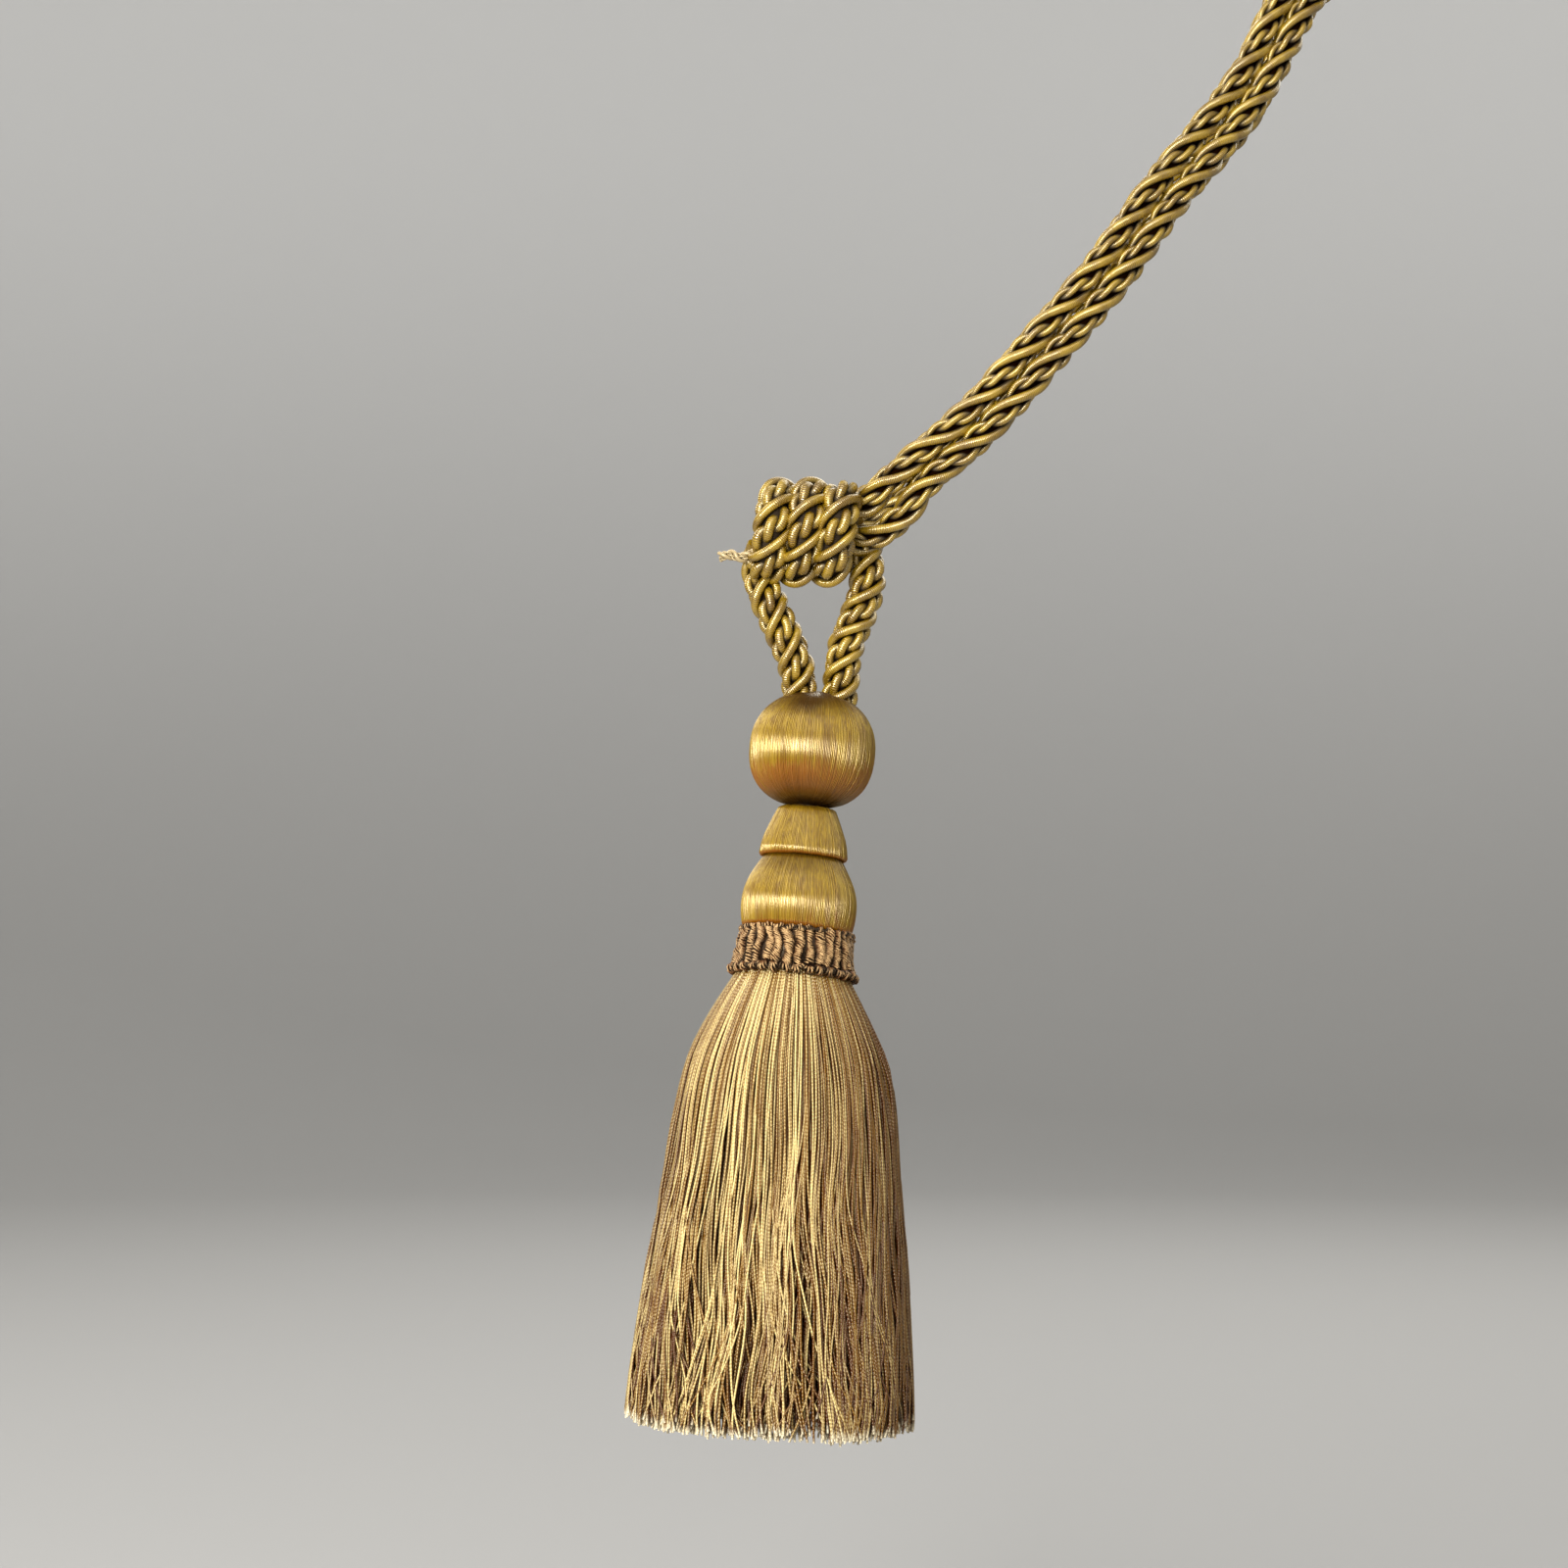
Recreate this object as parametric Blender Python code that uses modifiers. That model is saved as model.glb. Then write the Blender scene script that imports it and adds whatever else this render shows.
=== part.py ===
"""Curtain tieback tassel: a doubled twisted rope, a wrapped knot, and a tassel that hangs from the knot.

Run with: blender --background --python part.py

Frame: the origin is where the two rope loops sit on their wall hook. +Z is up, +X runs along the wall from
the tassel towards the hook, and -Y points out of the wall, into the room. Sizes and places are in
millimetres, and MM turns them into Blender's metres.
"""

import math

import bmesh
import bpy
from mathutils import Matrix, Vector

MM = 0.001
GAP = 0.3                      # clearance between two pieces that touch
COLLECTION = "curtain_tieback_tassel"

# The doubled rope, with its route from the knot to where it opens into the hook loop
ROPE_DIAMETER = 8.6
ROPE_BEVEL = 2                 # gives a tube of eight sides
ROPE_POINT_STEP = 14.0         # between two points of a tube
LOOP_POINT_STEP = 6.5          # the same, round the hook loop
LEG_POINT_STEP = 8.0           # the same, on the short legs
FINE_STEP = 0.5                # of a route before its points are thinned out
END_POINTS = 4                 # fine steps in the short run that squares each end of a rope
PAIR_HALF_SPACING = 4.7        # from the middle of the pair to the middle of each rope
LOOP_RADIUS = 15.0             # of the rope's middle, round the hook
LOOP_ROWS = 7                  # points that shape each side of the loop, and half its arc

# Columns: x, y, z of the middle of the pair
FRONT_ROUTE = (
    (-147.5, -71.0, -204.3),
    (-129.2, -73.0, -188.6),
    (-107.2, -72.0, -164.4),
    (-86.5, -67.0, -139.7),
    (-68.5, -58.0, -114.7),
    (-40.2, -38.0, -78.7),
    (-23.5, -23.5, -48.0),
)
BACK_ROUTE = (
    (-182.0, -51.1, -221.5),
    (-181.4, -45.5, -221.5),
    (-177.0, -38.0, -221.2),
    (-168.0, -31.0, -218.5),
    (-158.0, -22.5, -211.5),
    (-145.8, -13.5, -200.6),
    (-126.1, -3.0, -182.8),
    (-102.7, 4.0, -156.8),
    (-81.0, 8.0, -131.0),
    (-62.8, 9.0, -105.8),
    (-38.5, 8.5, -77.5),
    (-22.5, 7.5, -46.5),
)
# Columns: x, y, z of each front rope where it turns into the knot's end
FRONT_UPPER_ENTRY = ((-164.4, -66.0, -215.1), (-162.6, -66.1, -215.1), (-157.8, -68.4, -207.8))
FRONT_LOWER_ENTRY = ((-165.2, -66.0, -226.0), (-162.4, -66.1, -226.0), (-152.4, -69.0, -218.0))
FRONT_HOOK_SEAT = (0.0, -6.0, 0.0)
BACK_HOOK_SEAT = (0.0, 6.0, 0.0)

# The knot: turns of the rope side by side round a level core
KNOT_CENTRE = (-184.1, -66.0, -223.5)
KNOT_TURNS = 3
KNOT_TURN_SPACING = 11.9
KNOT_TURN_RADIUS = 6.0         # half the width of one turn
KNOT_RADIUS = 17.7             # outside of the turns, seen from the front
KNOT_DEPTH_RATIO = 0.82        # its depth over its height
KNOT_LEAN = math.radians(5.0)  # the turns lean to the right at the top
KNOT_STEPS = 28

# The hanging loop's two legs. Columns: x, y, z
LEG_DIAMETER = 10.6
LEFT_LEG = (
    (-197.8, -64.0, -242.0),
    (-197.2, -64.5, -246.0),
    (-191.3, -65.6, -253.9),
    (-188.2, -66.0, -261.8),
    (-186.9, -66.0, -268.5),
    (-186.4, -65.4, -272.6),
)
RIGHT_LEG = (
    (-160.9, -64.5, -231.3),
    (-161.2, -65.0, -238.6),
    (-164.6, -65.5, -248.2),
    (-169.6, -66.0, -257.1),
    (-173.2, -66.0, -266.0),
    (-174.4, -65.4, -273.8),
)

# The tassel, measured down its own axis from the middle of the ball
BALL_CENTRE = (-181.6, -66.0, -293.2)
HEAD_LEAN = math.radians(5.0)  # the axis leans to the left at the bottom
HEAD_TILT = math.radians(8.0)  # and comes forward at the bottom
BALL_RADIUS = 20.0
BALL_HALF_HEIGHT = 18.3
BALL_FLAT_RADIUS = 9.5         # of its flat ends
BELL_TOP, BELL_BOTTOM = -19.1, -34.8
BELL_TOP_RADIUS, BELL_BOTTOM_RADIUS = 10.2, 13.6
BELL_LIP = 0.7                 # the rim stands out by this
BULB_TOP, BULB_BOTTOM = -35.1, -57.6
BULB_TOP_RADIUS, BULB_RADIUS, BULB_BOTTOM_RADIUS = 12.6, 18.2, 17.0
BULB_WIDEST = -50.0
RUFF_TOP, RUFF_BOTTOM = -57.9, -72.9
RUFF_TOP_RADIUS, RUFF_BOTTOM_RADIUS = 18.6, 20.9
RUFF_BORE = 15.8
RUFF_RIBS = 33
RUFF_RIB_DEPTH = 1.5
TURNED_STEPS = 32

# The skirt, a comb of yarn. Columns: height below the middle of the ball, radius seen from the front
NECK_RADIUS = RUFF_BORE - GAP
# Below the ruff the skirt hangs this much nearer to plumb, sideways and to the back
SKIRT_SWING = math.tan(math.radians(1.9))
SKIRT_BACK_SWING = math.tan(math.radians(5.0))
SKIRT_OUTLINE = (
    (-73.2, 18.6),
    (-77.0, 22.0),
    (-83.0, 25.8),
    (-93.6, 31.2),
    (-104.6, 34.2),
    (-120.0, 36.6),
    (-142.0, 38.8),
    (-165.0, 41.9),
    (-190.0, 44.4),
    (-206.0, 46.2),
    (-216.5, 47.2),
)
SKIRT_HOLLOW = ((-221.0, 43.0), (-217.0, 22.0))   # the uneven underside
# The hem is cut nearly level although the tassel leans and tilts
HEM_SLOPE_ACROSS = math.tan(math.radians(2.1))
HEM_SLOPE_BACK = math.tan(math.radians(9.0))
SKIRT_DEPTH_RATIO = 0.84
SKIRT_TEETH = 28
STEPS_PER_TOOTH = 4
TOOTH_GROOVE = (0.015, 0.11)   # depth of the grooves over the radius, at the top and at the hem
TOOTH_LENGTH = 6.0             # the hem rises by this between two teeth

# Colours and finish. Columns: base colour (linear), roughness
ROPE_FINISH = ((0.42, 0.29, 0.06), 0.45)
FLOSS_FINISH = ((0.48, 0.32, 0.06), 0.32)
RUFF_FINISH = ((0.50, 0.33, 0.14), 0.60)
SKIRT_FINISH = ((0.56, 0.38, 0.14), 0.50)


# ---------------------------------------------------------------- shapes

def clear_scene():
    for obj in list(bpy.data.objects):
        bpy.data.objects.remove(obj, do_unlink=True)


def make_material(name, finish):
    colour, roughness = finish
    material = bpy.data.materials.new(name)
    material.use_nodes = True
    shader = material.node_tree.nodes["Principled BSDF"]
    shader.inputs["Base Color"].default_value = (*colour, 1.0)
    shader.inputs["Roughness"].default_value = roughness
    shader.inputs["Metallic"].default_value = 0.0
    return material


def add_object(name, data, material, collection, parent=None):
    obj = bpy.data.objects.new(name, data)
    if data is not None:
        data.materials.append(material)
    collection.objects.link(obj)
    obj.parent = parent
    return obj


def smooth_curve(rows, step):
    """Points about `step` apart on a smooth curve through the rows, both ends included."""
    knots = [Vector(row) for row in rows]
    knots = [2 * knots[0] - knots[1]] + knots + [2 * knots[-1] - knots[-2]]
    dense = []
    for before, start, end, after in zip(knots, knots[1:], knots[2:], knots[3:]):
        for i in range(16):
            t = i / 16
            dense.append(0.5 * (2 * start + (end - before) * t
                                + (2 * before - 5 * start + 4 * end - after) * t ** 2
                                + (3 * start - before - 3 * end + after) * t ** 3))
    dense.append(knots[-2])
    return spaced(dense, step)


def spaced(points, step):
    """The same line, with its points at equal distances of about `step`."""
    reach = [0.0]
    for a, b in zip(points, points[1:]):
        reach.append(reach[-1] + (b - a).length)
    count = max(2, round(reach[-1] / step) + 1)
    result, span = [], 0
    for i in range(count):
        at = reach[-1] * i / (count - 1)
        while span < len(points) - 2 and reach[span + 1] < at:
            span += 1
        share = (at - reach[span]) / (reach[span + 1] - reach[span])
        result.append(points[span].lerp(points[span + 1], min(share, 1.0)))
    return result


def thinned(line, step):
    """A fine line's points about `step` apart, with a short run at each end along its true direction."""
    return [line[0]] + spaced(line[END_POINTS:-END_POINTS], step) + [line[-1]]


def tube(name, points, diameter, material, collection):
    """A plain rope along the points, with flat ends."""
    curve = bpy.data.curves.new(name, "CURVE")
    curve.dimensions = "3D"
    curve.bevel_depth = diameter / 2 * MM
    curve.bevel_resolution = ROPE_BEVEL
    curve.use_fill_caps = True
    spline = curve.splines.new("POLY")
    spline.points.add(len(points) - 1)
    for spline_point, point in zip(spline.points, points):
        spline_point.co = (*(point * MM), 1.0)
    return add_object(name, curve, material, collection)


def turned(name, profile, steps, material, collection, parent=None, ring=False):
    """A solid turned about Z. The profile holds (radius, height) rows, from the top down the outer side."""
    last = len(profile) - 1
    edges = [(i, i + 1) for i in range(last)] + ([(last, 0)] if ring else [])
    mesh = bpy.data.meshes.new(name)
    mesh.from_pydata([(radius * MM, 0.0, height * MM) for radius, height in profile], edges, [])
    obj = add_object(name, mesh, material, collection, parent)
    screw = obj.modifiers.new("Turn", "SCREW")
    screw.steps = screw.render_steps = steps
    screw.use_merge_vertices = True
    screw.merge_threshold = 0.00001
    screw.use_smooth_shade = True
    return obj


def reshape(obj, place):
    """Make the object's turned surface its mesh, and move each point by place(point), in millimetres."""
    evaluated = obj.evaluated_get(bpy.context.evaluated_depsgraph_get())
    mesh = bpy.data.meshes.new_from_object(evaluated)
    obj.modifiers.clear()
    obj.data = mesh
    for vertex in mesh.vertices:
        vertex.co = place(vertex.co / MM) * MM


def arc(centre, radius, start_deg, end_deg, count):
    """(radius, height) rows round part of a circle, 90 degrees being its top."""
    rows = []
    for i in range(count):
        angle = math.radians(start_deg + (end_deg - start_deg) * i / (count - 1))
        rows.append((centre[0] + radius * math.cos(angle), centre[1] + radius * math.sin(angle)))
    return rows


# ---------------------------------------------------------------- the rope

def pair_rows(route, side):
    """Rows of one rope of the pair: the upper one for side 1, the lower one for side -1."""
    middle = [Vector(row) for row in route]
    rows = []
    for i, point in enumerate(middle):
        along = middle[min(i + 1, len(middle) - 1)] - middle[max(i - 1, 0)]
        across = Vector((-along.z, 0.0, along.x)).normalized()
        rows.append(point + across * PAIR_HALF_SPACING * side)
    return rows


def hook_loop_rows(route, seat):
    """Rows of the teardrop loop, from the end of the upper rope round the hook to that of the lower one."""
    start = Vector(route[-1])
    along = (Vector(seat) - start).normalized()
    across = Vector((-along.z, 0.0, along.x)).normalized()
    centre = Vector(seat) + along * (ROPE_DIAMETER / 2 - LOOP_RADIUS)
    opening, rounding = [], []
    for i in range(1, LOOP_ROWS):
        share = i / LOOP_ROWS
        ease = share * share * (3 - 2 * share)
        half = PAIR_HALF_SPACING + (LOOP_RADIUS - PAIR_HALF_SPACING) * ease
        opening.append((start.lerp(centre, share), half))
    for i in range(2 * LOOP_ROWS + 1):
        angle = math.pi / 2 - math.pi * i / (2 * LOOP_ROWS)
        rounding.append(centre + LOOP_RADIUS * (across * math.sin(angle) + along * math.cos(angle)))
    upper = [point + across * half for point, half in opening]
    lower = [point - across * half for point, half in reversed(opening)]
    return upper + rounding + lower


def make_embrace(side_name, route, seat, upper_entry, lower_entry, material, collection):
    """One half of the embrace: a rope up from the knot, its hook loop, and the rope back down."""
    upper = [Vector(row) for row in upper_entry] + pair_rows(route, 1)
    lower = [Vector(row) for row in lower_entry] + pair_rows(route, -1)
    turn = hook_loop_rows(route, seat)
    whole = smooth_curve(upper + turn + lower[::-1], FINE_STEP)
    first = nearest_index(whole, upper[-1])
    last = nearest_index(whole, lower[-1])
    margin = 0.5 * GAP
    pieces = (
        (f"rope_{side_name}_upper", whole[:first + 1], ROPE_POINT_STEP, (0.0, margin)),
        (f"hook_loop_{side_name}", whole[first:last + 1], LOOP_POINT_STEP, (margin, margin)),
        (f"rope_{side_name}_lower", whole[last:][::-1], ROPE_POINT_STEP, (0.0, margin)),
    )
    for name, line, step, trims in pieces:
        tube(name, thinned(trimmed(line, *trims), step), ROPE_DIAMETER, material, collection)


def nearest_index(line, point):
    return min(range(len(line)), key=lambda i: (line[i] - point).length)


def trimmed(line, start, end):
    """The line with its first and last points moved in by these lengths."""
    line = list(line)
    line[0] = line[0] + (line[1] - line[0]).normalized() * start
    line[-1] = line[-1] + (line[-2] - line[-1]).normalized() * end
    return line


def make_legs(material, collection):
    for name, rows in (("leg_left", LEFT_LEG), ("leg_right", RIGHT_LEG)):
        tube(name, thinned(smooth_curve(rows, FINE_STEP), LEG_POINT_STEP), LEG_DIAMETER, material, collection)


def make_knot(material, collection):
    """Three turns of rope side by side, as one turned solid laid along X, flattened and leaning."""
    core = KNOT_RADIUS - KNOT_TURN_RADIUS
    half_length = KNOT_TURN_SPACING * (KNOT_TURNS - 1) / 2
    profile = [(0.0, half_length + KNOT_TURN_RADIUS)]
    for turn in range(KNOT_TURNS):
        first = 90 if turn == 0 else 72
        last = -90 if turn == KNOT_TURNS - 1 else -72
        height = half_length - turn * KNOT_TURN_SPACING
        profile += arc((core, height), KNOT_TURN_RADIUS, first, last, 7)
    profile.append((0.0, -half_length - KNOT_TURN_RADIUS))
    knot = turned("knot", profile, KNOT_STEPS, material, collection)
    lay = Matrix.Rotation(math.radians(90), 3, "Y")

    def place(point):
        laid = lay @ point
        return Vector((laid.x + laid.z * math.tan(KNOT_LEAN), laid.y * KNOT_DEPTH_RATIO, laid.z))

    reshape(knot, place)
    knot.location = Vector(KNOT_CENTRE) * MM


# ---------------------------------------------------------------- the tassel

def make_head(material, collection, head):
    """The three beads under floss: the ball, the bell and the bulb."""
    rounding = []
    rim = math.acos(BALL_FLAT_RADIUS / BALL_RADIUS)
    for i in range(15):
        angle = rim * (1 - 2 * i / 14)
        rounding.append((BALL_RADIUS * math.cos(angle), BALL_HALF_HEIGHT * math.sin(angle) / math.sin(rim)))
    ball = [(0.0, BALL_HALF_HEIGHT)] + rounding + [(0.0, -BALL_HALF_HEIGHT)]
    turned("ball", ball, TURNED_STEPS, material, collection, head)

    lip_height = 2 * BELL_LIP
    bell = [
        (0.0, BELL_TOP),
        (BELL_TOP_RADIUS - 1.0, BELL_TOP),
        (BELL_TOP_RADIUS, BELL_TOP - 1.0),
        (0.62 * BELL_TOP_RADIUS + 0.38 * BELL_BOTTOM_RADIUS, 0.5 * (BELL_TOP + BELL_BOTTOM)),
        (BELL_BOTTOM_RADIUS - 0.5, BELL_BOTTOM + 2 * lip_height),
        (BELL_BOTTOM_RADIUS + BELL_LIP, BELL_BOTTOM + lip_height),
        (BELL_BOTTOM_RADIUS + BELL_LIP, BELL_BOTTOM + 0.5 * lip_height),
        (BELL_BOTTOM_RADIUS, BELL_BOTTOM),
        (0.0, BELL_BOTTOM),
    ]
    turned("bell", bell, TURNED_STEPS, material, collection, head)

    bulb = [(0.0, BULB_TOP)]
    for i in range(7):
        share = i / 6
        swell = math.sin(share * math.pi / 2)
        radius = BULB_TOP_RADIUS + (BULB_RADIUS - BULB_TOP_RADIUS) * swell
        bulb.append((radius, BULB_TOP + (BULB_WIDEST - BULB_TOP) * share))
    bulb.append((0.5 * (BULB_RADIUS + BULB_BOTTOM_RADIUS) + 0.2, 0.5 * (BULB_WIDEST + BULB_BOTTOM)))
    bulb.append((BULB_BOTTOM_RADIUS, BULB_BOTTOM))
    bulb.append((0.0, BULB_BOTTOM))
    turned("bulb", bulb, TURNED_STEPS, material, collection, head)


def make_ruff(material, collection, head):
    """The collar of gimp: a ring whose outer side stands in upright ribs."""
    middle = 0.5 * (RUFF_TOP_RADIUS + RUFF_BOTTOM_RADIUS)
    profile = [
        (RUFF_BORE, RUFF_TOP),
        (RUFF_TOP_RADIUS - 0.8, RUFF_TOP),
        (RUFF_TOP_RADIUS, RUFF_TOP - 2.0),
        (middle - 0.5, 0.5 * (RUFF_TOP + RUFF_BOTTOM)),
        (RUFF_BOTTOM_RADIUS, RUFF_BOTTOM + 3.0),
        (RUFF_BOTTOM_RADIUS - 0.3, RUFF_BOTTOM + 0.8),
        (RUFF_BOTTOM_RADIUS - 1.5, RUFF_BOTTOM),
        (RUFF_BORE, RUFF_BOTTOM),
    ]
    ruff = turned("ruff", profile, RUFF_RIBS * 3, material, collection, head, ring=True)

    def place(point):
        radius = math.hypot(point.x, point.y)
        angle = math.atan2(point.y, point.x)
        outside = max(0.0, (radius - RUFF_BORE - 1.0) / (RUFF_BOTTOM_RADIUS - RUFF_BORE - 1.0))
        groove = RUFF_RIB_DEPTH * outside * (0.5 - 0.5 * math.cos(RUFF_RIBS * angle))
        scale = (radius - groove) / radius
        return Vector((point.x * scale, point.y * scale, point.z))

    reshape(ruff, place)


def make_skirt(material, collection, head):
    """The comb of yarn: a neck inside the ruff, a bell whose grooves deepen to teeth at the hem."""
    outline = [(radius, height) for height, radius in SKIRT_OUTLINE]
    hollow = [(radius, height) for height, radius in SKIRT_HOLLOW]
    neck_top = BULB_BOTTOM - GAP
    top, hem = outline[0][1], outline[-1][1]
    profile = [(0.0, neck_top), (NECK_RADIUS, neck_top), (NECK_RADIUS, top)]
    profile += outline + hollow + [(0.0, hollow[-1][1])]
    skirt = turned("skirt", profile, SKIRT_TEETH * STEPS_PER_TOOTH, material, collection, head)

    def place(point):
        radius = math.hypot(point.x, point.y)
        if point.z > top - 0.01:
            return point
        angle = math.atan2(point.y, point.x)
        down = min(1.0, (top - point.z) / (top - hem))
        between = 0.5 - 0.5 * math.cos(SKIRT_TEETH * angle)
        groove = (TOOTH_GROOVE[0] + (TOOTH_GROOVE[1] - TOOTH_GROOVE[0]) * down ** 2) * between
        sway = down * (0.014 * math.sin(3 * angle + 0.8) + 0.012 * math.sin(7 * angle + 2.1))
        scale = 1 - groove + sway
        flat = 1 - (1 - SKIRT_DEPTH_RATIO) * min(1.0, 4 * down)
        at_hem = min(1.0, radius / outline[-1][0]) ** 3 if down > 0.9 else 0.0
        lift = TOOTH_LENGTH * between * at_hem
        fallen = top - point.z
        level = down ** 3 * (HEM_SLOPE_ACROSS * point.x + HEM_SLOPE_BACK * point.y)
        return Vector((point.x * scale + SKIRT_SWING * fallen,
                       point.y * scale * flat + SKIRT_BACK_SWING * fallen,
                       point.z + lift + level))

    reshape(skirt, place)


def main():
    clear_scene()
    collection = bpy.data.collections.new(COLLECTION)
    bpy.context.scene.collection.children.link(collection)
    rope = make_material("rope", ROPE_FINISH)
    floss = make_material("floss", FLOSS_FINISH)
    gimp = make_material("gimp", RUFF_FINISH)
    yarn = make_material("yarn", SKIRT_FINISH)

    make_embrace("front", FRONT_ROUTE, FRONT_HOOK_SEAT, FRONT_UPPER_ENTRY, FRONT_LOWER_ENTRY,
                 rope, collection)
    make_embrace("back", BACK_ROUTE, BACK_HOOK_SEAT, (), (), rope, collection)
    make_knot(rope, collection)
    make_legs(rope, collection)

    head = add_object("tassel_axis", None, None, collection)
    head.location = Vector(BALL_CENTRE) * MM
    head.rotation_euler = (-HEAD_TILT, HEAD_LEAN, 0.0)
    make_head(floss, collection, head)
    make_ruff(gimp, collection, head)
    make_skirt(yarn, collection, head)


main()
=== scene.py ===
"""Curtain tieback tassel: the finish of every piece, laid out as a Blender add-on and run as a script.

The doubled rope is wound strand by strand along its route, the knot and the hanging loop are the same rope
laid slacker, the three beads are covered with laid floss, the ruff is coiled gimp, and the skirt is made
yarn by yarn. The finished pieces are in metres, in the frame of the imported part: +Z up, -Y into the room.
"""

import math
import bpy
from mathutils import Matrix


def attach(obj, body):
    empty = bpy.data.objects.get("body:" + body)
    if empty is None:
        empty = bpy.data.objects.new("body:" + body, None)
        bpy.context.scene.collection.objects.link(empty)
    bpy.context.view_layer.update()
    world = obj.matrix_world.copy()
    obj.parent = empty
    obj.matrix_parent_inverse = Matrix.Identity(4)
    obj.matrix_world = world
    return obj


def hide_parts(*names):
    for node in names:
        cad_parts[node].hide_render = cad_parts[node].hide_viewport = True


bl_info = {
    "name": "Curtain Tieback Tassel",
    "version": (1, 0, 0),
    "blender": (4, 5, 0),
    "location": "3D View > Sidebar > Tassel",
    "description": "Builds a twisted rope tieback with a floss, gimp and yarn tassel",
    "category": "Add Mesh",
}

from functools import partial

import bpy
from bpy.props import FloatProperty, FloatVectorProperty, IntProperty, PointerProperty
from mathutils import Euler, Matrix, Vector

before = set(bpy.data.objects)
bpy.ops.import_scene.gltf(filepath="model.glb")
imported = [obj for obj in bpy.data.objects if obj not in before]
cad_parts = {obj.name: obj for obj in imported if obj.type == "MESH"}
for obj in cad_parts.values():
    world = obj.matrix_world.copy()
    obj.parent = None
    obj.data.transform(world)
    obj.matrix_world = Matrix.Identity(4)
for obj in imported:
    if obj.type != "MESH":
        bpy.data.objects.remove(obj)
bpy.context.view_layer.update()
MM = 0.001
FULL_TURN = 2 * math.pi
BODY = "root"

# ---- camera and stage

VIEW_DISTANCE = 1.395          # from the lens to the tassel, along Y
VIEW_CENTRE = (-0.1907, -0.066, -0.30415)
LENS, SENSOR = 100.0, 36.0     # millimetres
# The round backdrop: its radius, the radius of its corner, its height, the rows of that corner, points round
SWEEP_REACH, SWEEP_CORNER, SWEEP_TOP, SWEEP_ROWS, SWEEP_AROUND = 3.2, 1.2, 2.6, 12, 96
SWEEP_FLAT = 0.4               # radius of the first ring of the floor
WORLD_STRENGTH = 0.7
# Columns: name, width and height, place from the middle of the view, height over that middle it is aimed at
LAMPS = (
    ("key", (1.2, 0.28), (-0.75, -1.5, 0.4), 0.0),
    ("overhead", (1.4, 0.9), (-0.2, -0.85, 1.0), 0.0),
    ("rim", (0.6, 0.6), (-1.2, 0.7, 0.9), 0.1),
    ("back", (1.2, 0.8), (0.5, 1.5, 0.9), 0.0),
)

# ---- the rope's route, in millimetres

PAIR_HALF_SPACING = 4.3        # from the middle of the pair to the middle of each rope
LOOP_RADIUS = 15.0             # of the rope's middle, round the hook
LOOP_ROWS = 7
SEAT_DEPTH = 4.3               # from the hook's top to the rope's middle
PATH_STEP = 0.9                # between two points of a finished route
SLACK_STEP = 0.6               # and of one in the knot or the legs
CURVE_STEPS = 16               # between two rows of a route, before its points are spaced
# Rows: x, y, z of the middle of the pair, from the knot to where it opens into the hook loop
FRONT_ROUTE = (
    (-147.5, -71.0, -204.3), (-129.2, -73.0, -188.6), (-107.2, -72.0, -164.4), (-86.5, -67.0, -139.7),
    (-68.5, -58.0, -114.7), (-40.2, -38.0, -78.7), (-23.5, -23.5, -48.0),
)
BACK_ROUTE = (
    (-182.0, -51.1, -221.5), (-181.4, -45.5, -221.5), (-177.0, -38.0, -221.2), (-168.0, -31.0, -218.5),
    (-158.0, -22.5, -211.5), (-145.8, -13.5, -200.6), (-126.1, -3.0, -182.8), (-102.7, 4.0, -156.8),
    (-81.0, 8.0, -131.0), (-62.8, 9.0, -105.8), (-38.5, 8.5, -77.5), (-22.5, 7.5, -46.5),
)
# Rows: x, y, z of each front rope, from inside the knot's end to the pair
FRONT_UPPER_ENTRY = ((-172.0, -66.0, -215.6), (-164.6, -66.2, -214.6), (-157.8, -68.4, -207.8))
FRONT_LOWER_ENTRY = ((-172.0, -65.0, -226.4), (-162.6, -66.1, -225.8), (-152.4, -69.0, -218.0))
FRONT_HOOK_SEAT, BACK_HOOK_SEAT = (0.0, -6.0, 0.0), (0.0, 6.0, 0.0)

# The hanging loop: up from the ball on the left, through the knot, and down to the ball on the right
HANGING_LOOP = (
    (-184.6, -65.4, -283.0), (-185.6, -65.4, -275.6), (-186.4, -65.8, -268.5), (-188.4, -66.0, -261.8),
    (-191.9, -65.6, -253.9), (-195.6, -64.6, -245.6), (-198.2, -62.6, -238.0), (-197.8, -60.0, -230.6),
    (-193.5, -59.5, -225.6), (-180.0, -60.0, -224.5), (-170.5, -60.5, -223.6), (-165.6, -61.0, -227.8),
    (-164.1, -62.6, -233.5), (-164.0, -64.3, -239.5), (-165.4, -65.5, -246.2), (-168.4, -66.0, -253.4),
    (-171.0, -66.0, -260.6), (-172.2, -65.8, -267.8), (-172.6, -65.4, -274.6), (-174.4, -65.4, -280.6),
    (-178.0, -65.4, -285.4),
)

# The knot: turns of the rope side by side round a level core
KNOT_CENTRE = (-184.1, -66.0, -223.5)
KNOT_TURN_SPACING = 10.2
KNOT_TURN_LAP = 1.3            # each turn stands this much in front of the one on its left
KNOT_PATH_RADII = (8.6, 11.4)  # of the rope's middle: in depth, and in height
KNOT_START, KNOT_END, KNOT_STEP = -30, 930, 10     # degrees round the core
KNOT_FIRST_TURN = 90           # degrees at which the left turn is in its own place
KNOT_END_TURNS = (-0.2, 2.2)   # as far as the ends move along the core, counted in turns
KNOT_PHASE = 2.6               # turns the lay round the rope, in radians
KNOT_TUCK, KNOT_TUCKED = 70, 0.35                  # degrees in which an end rises, from this share out

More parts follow.
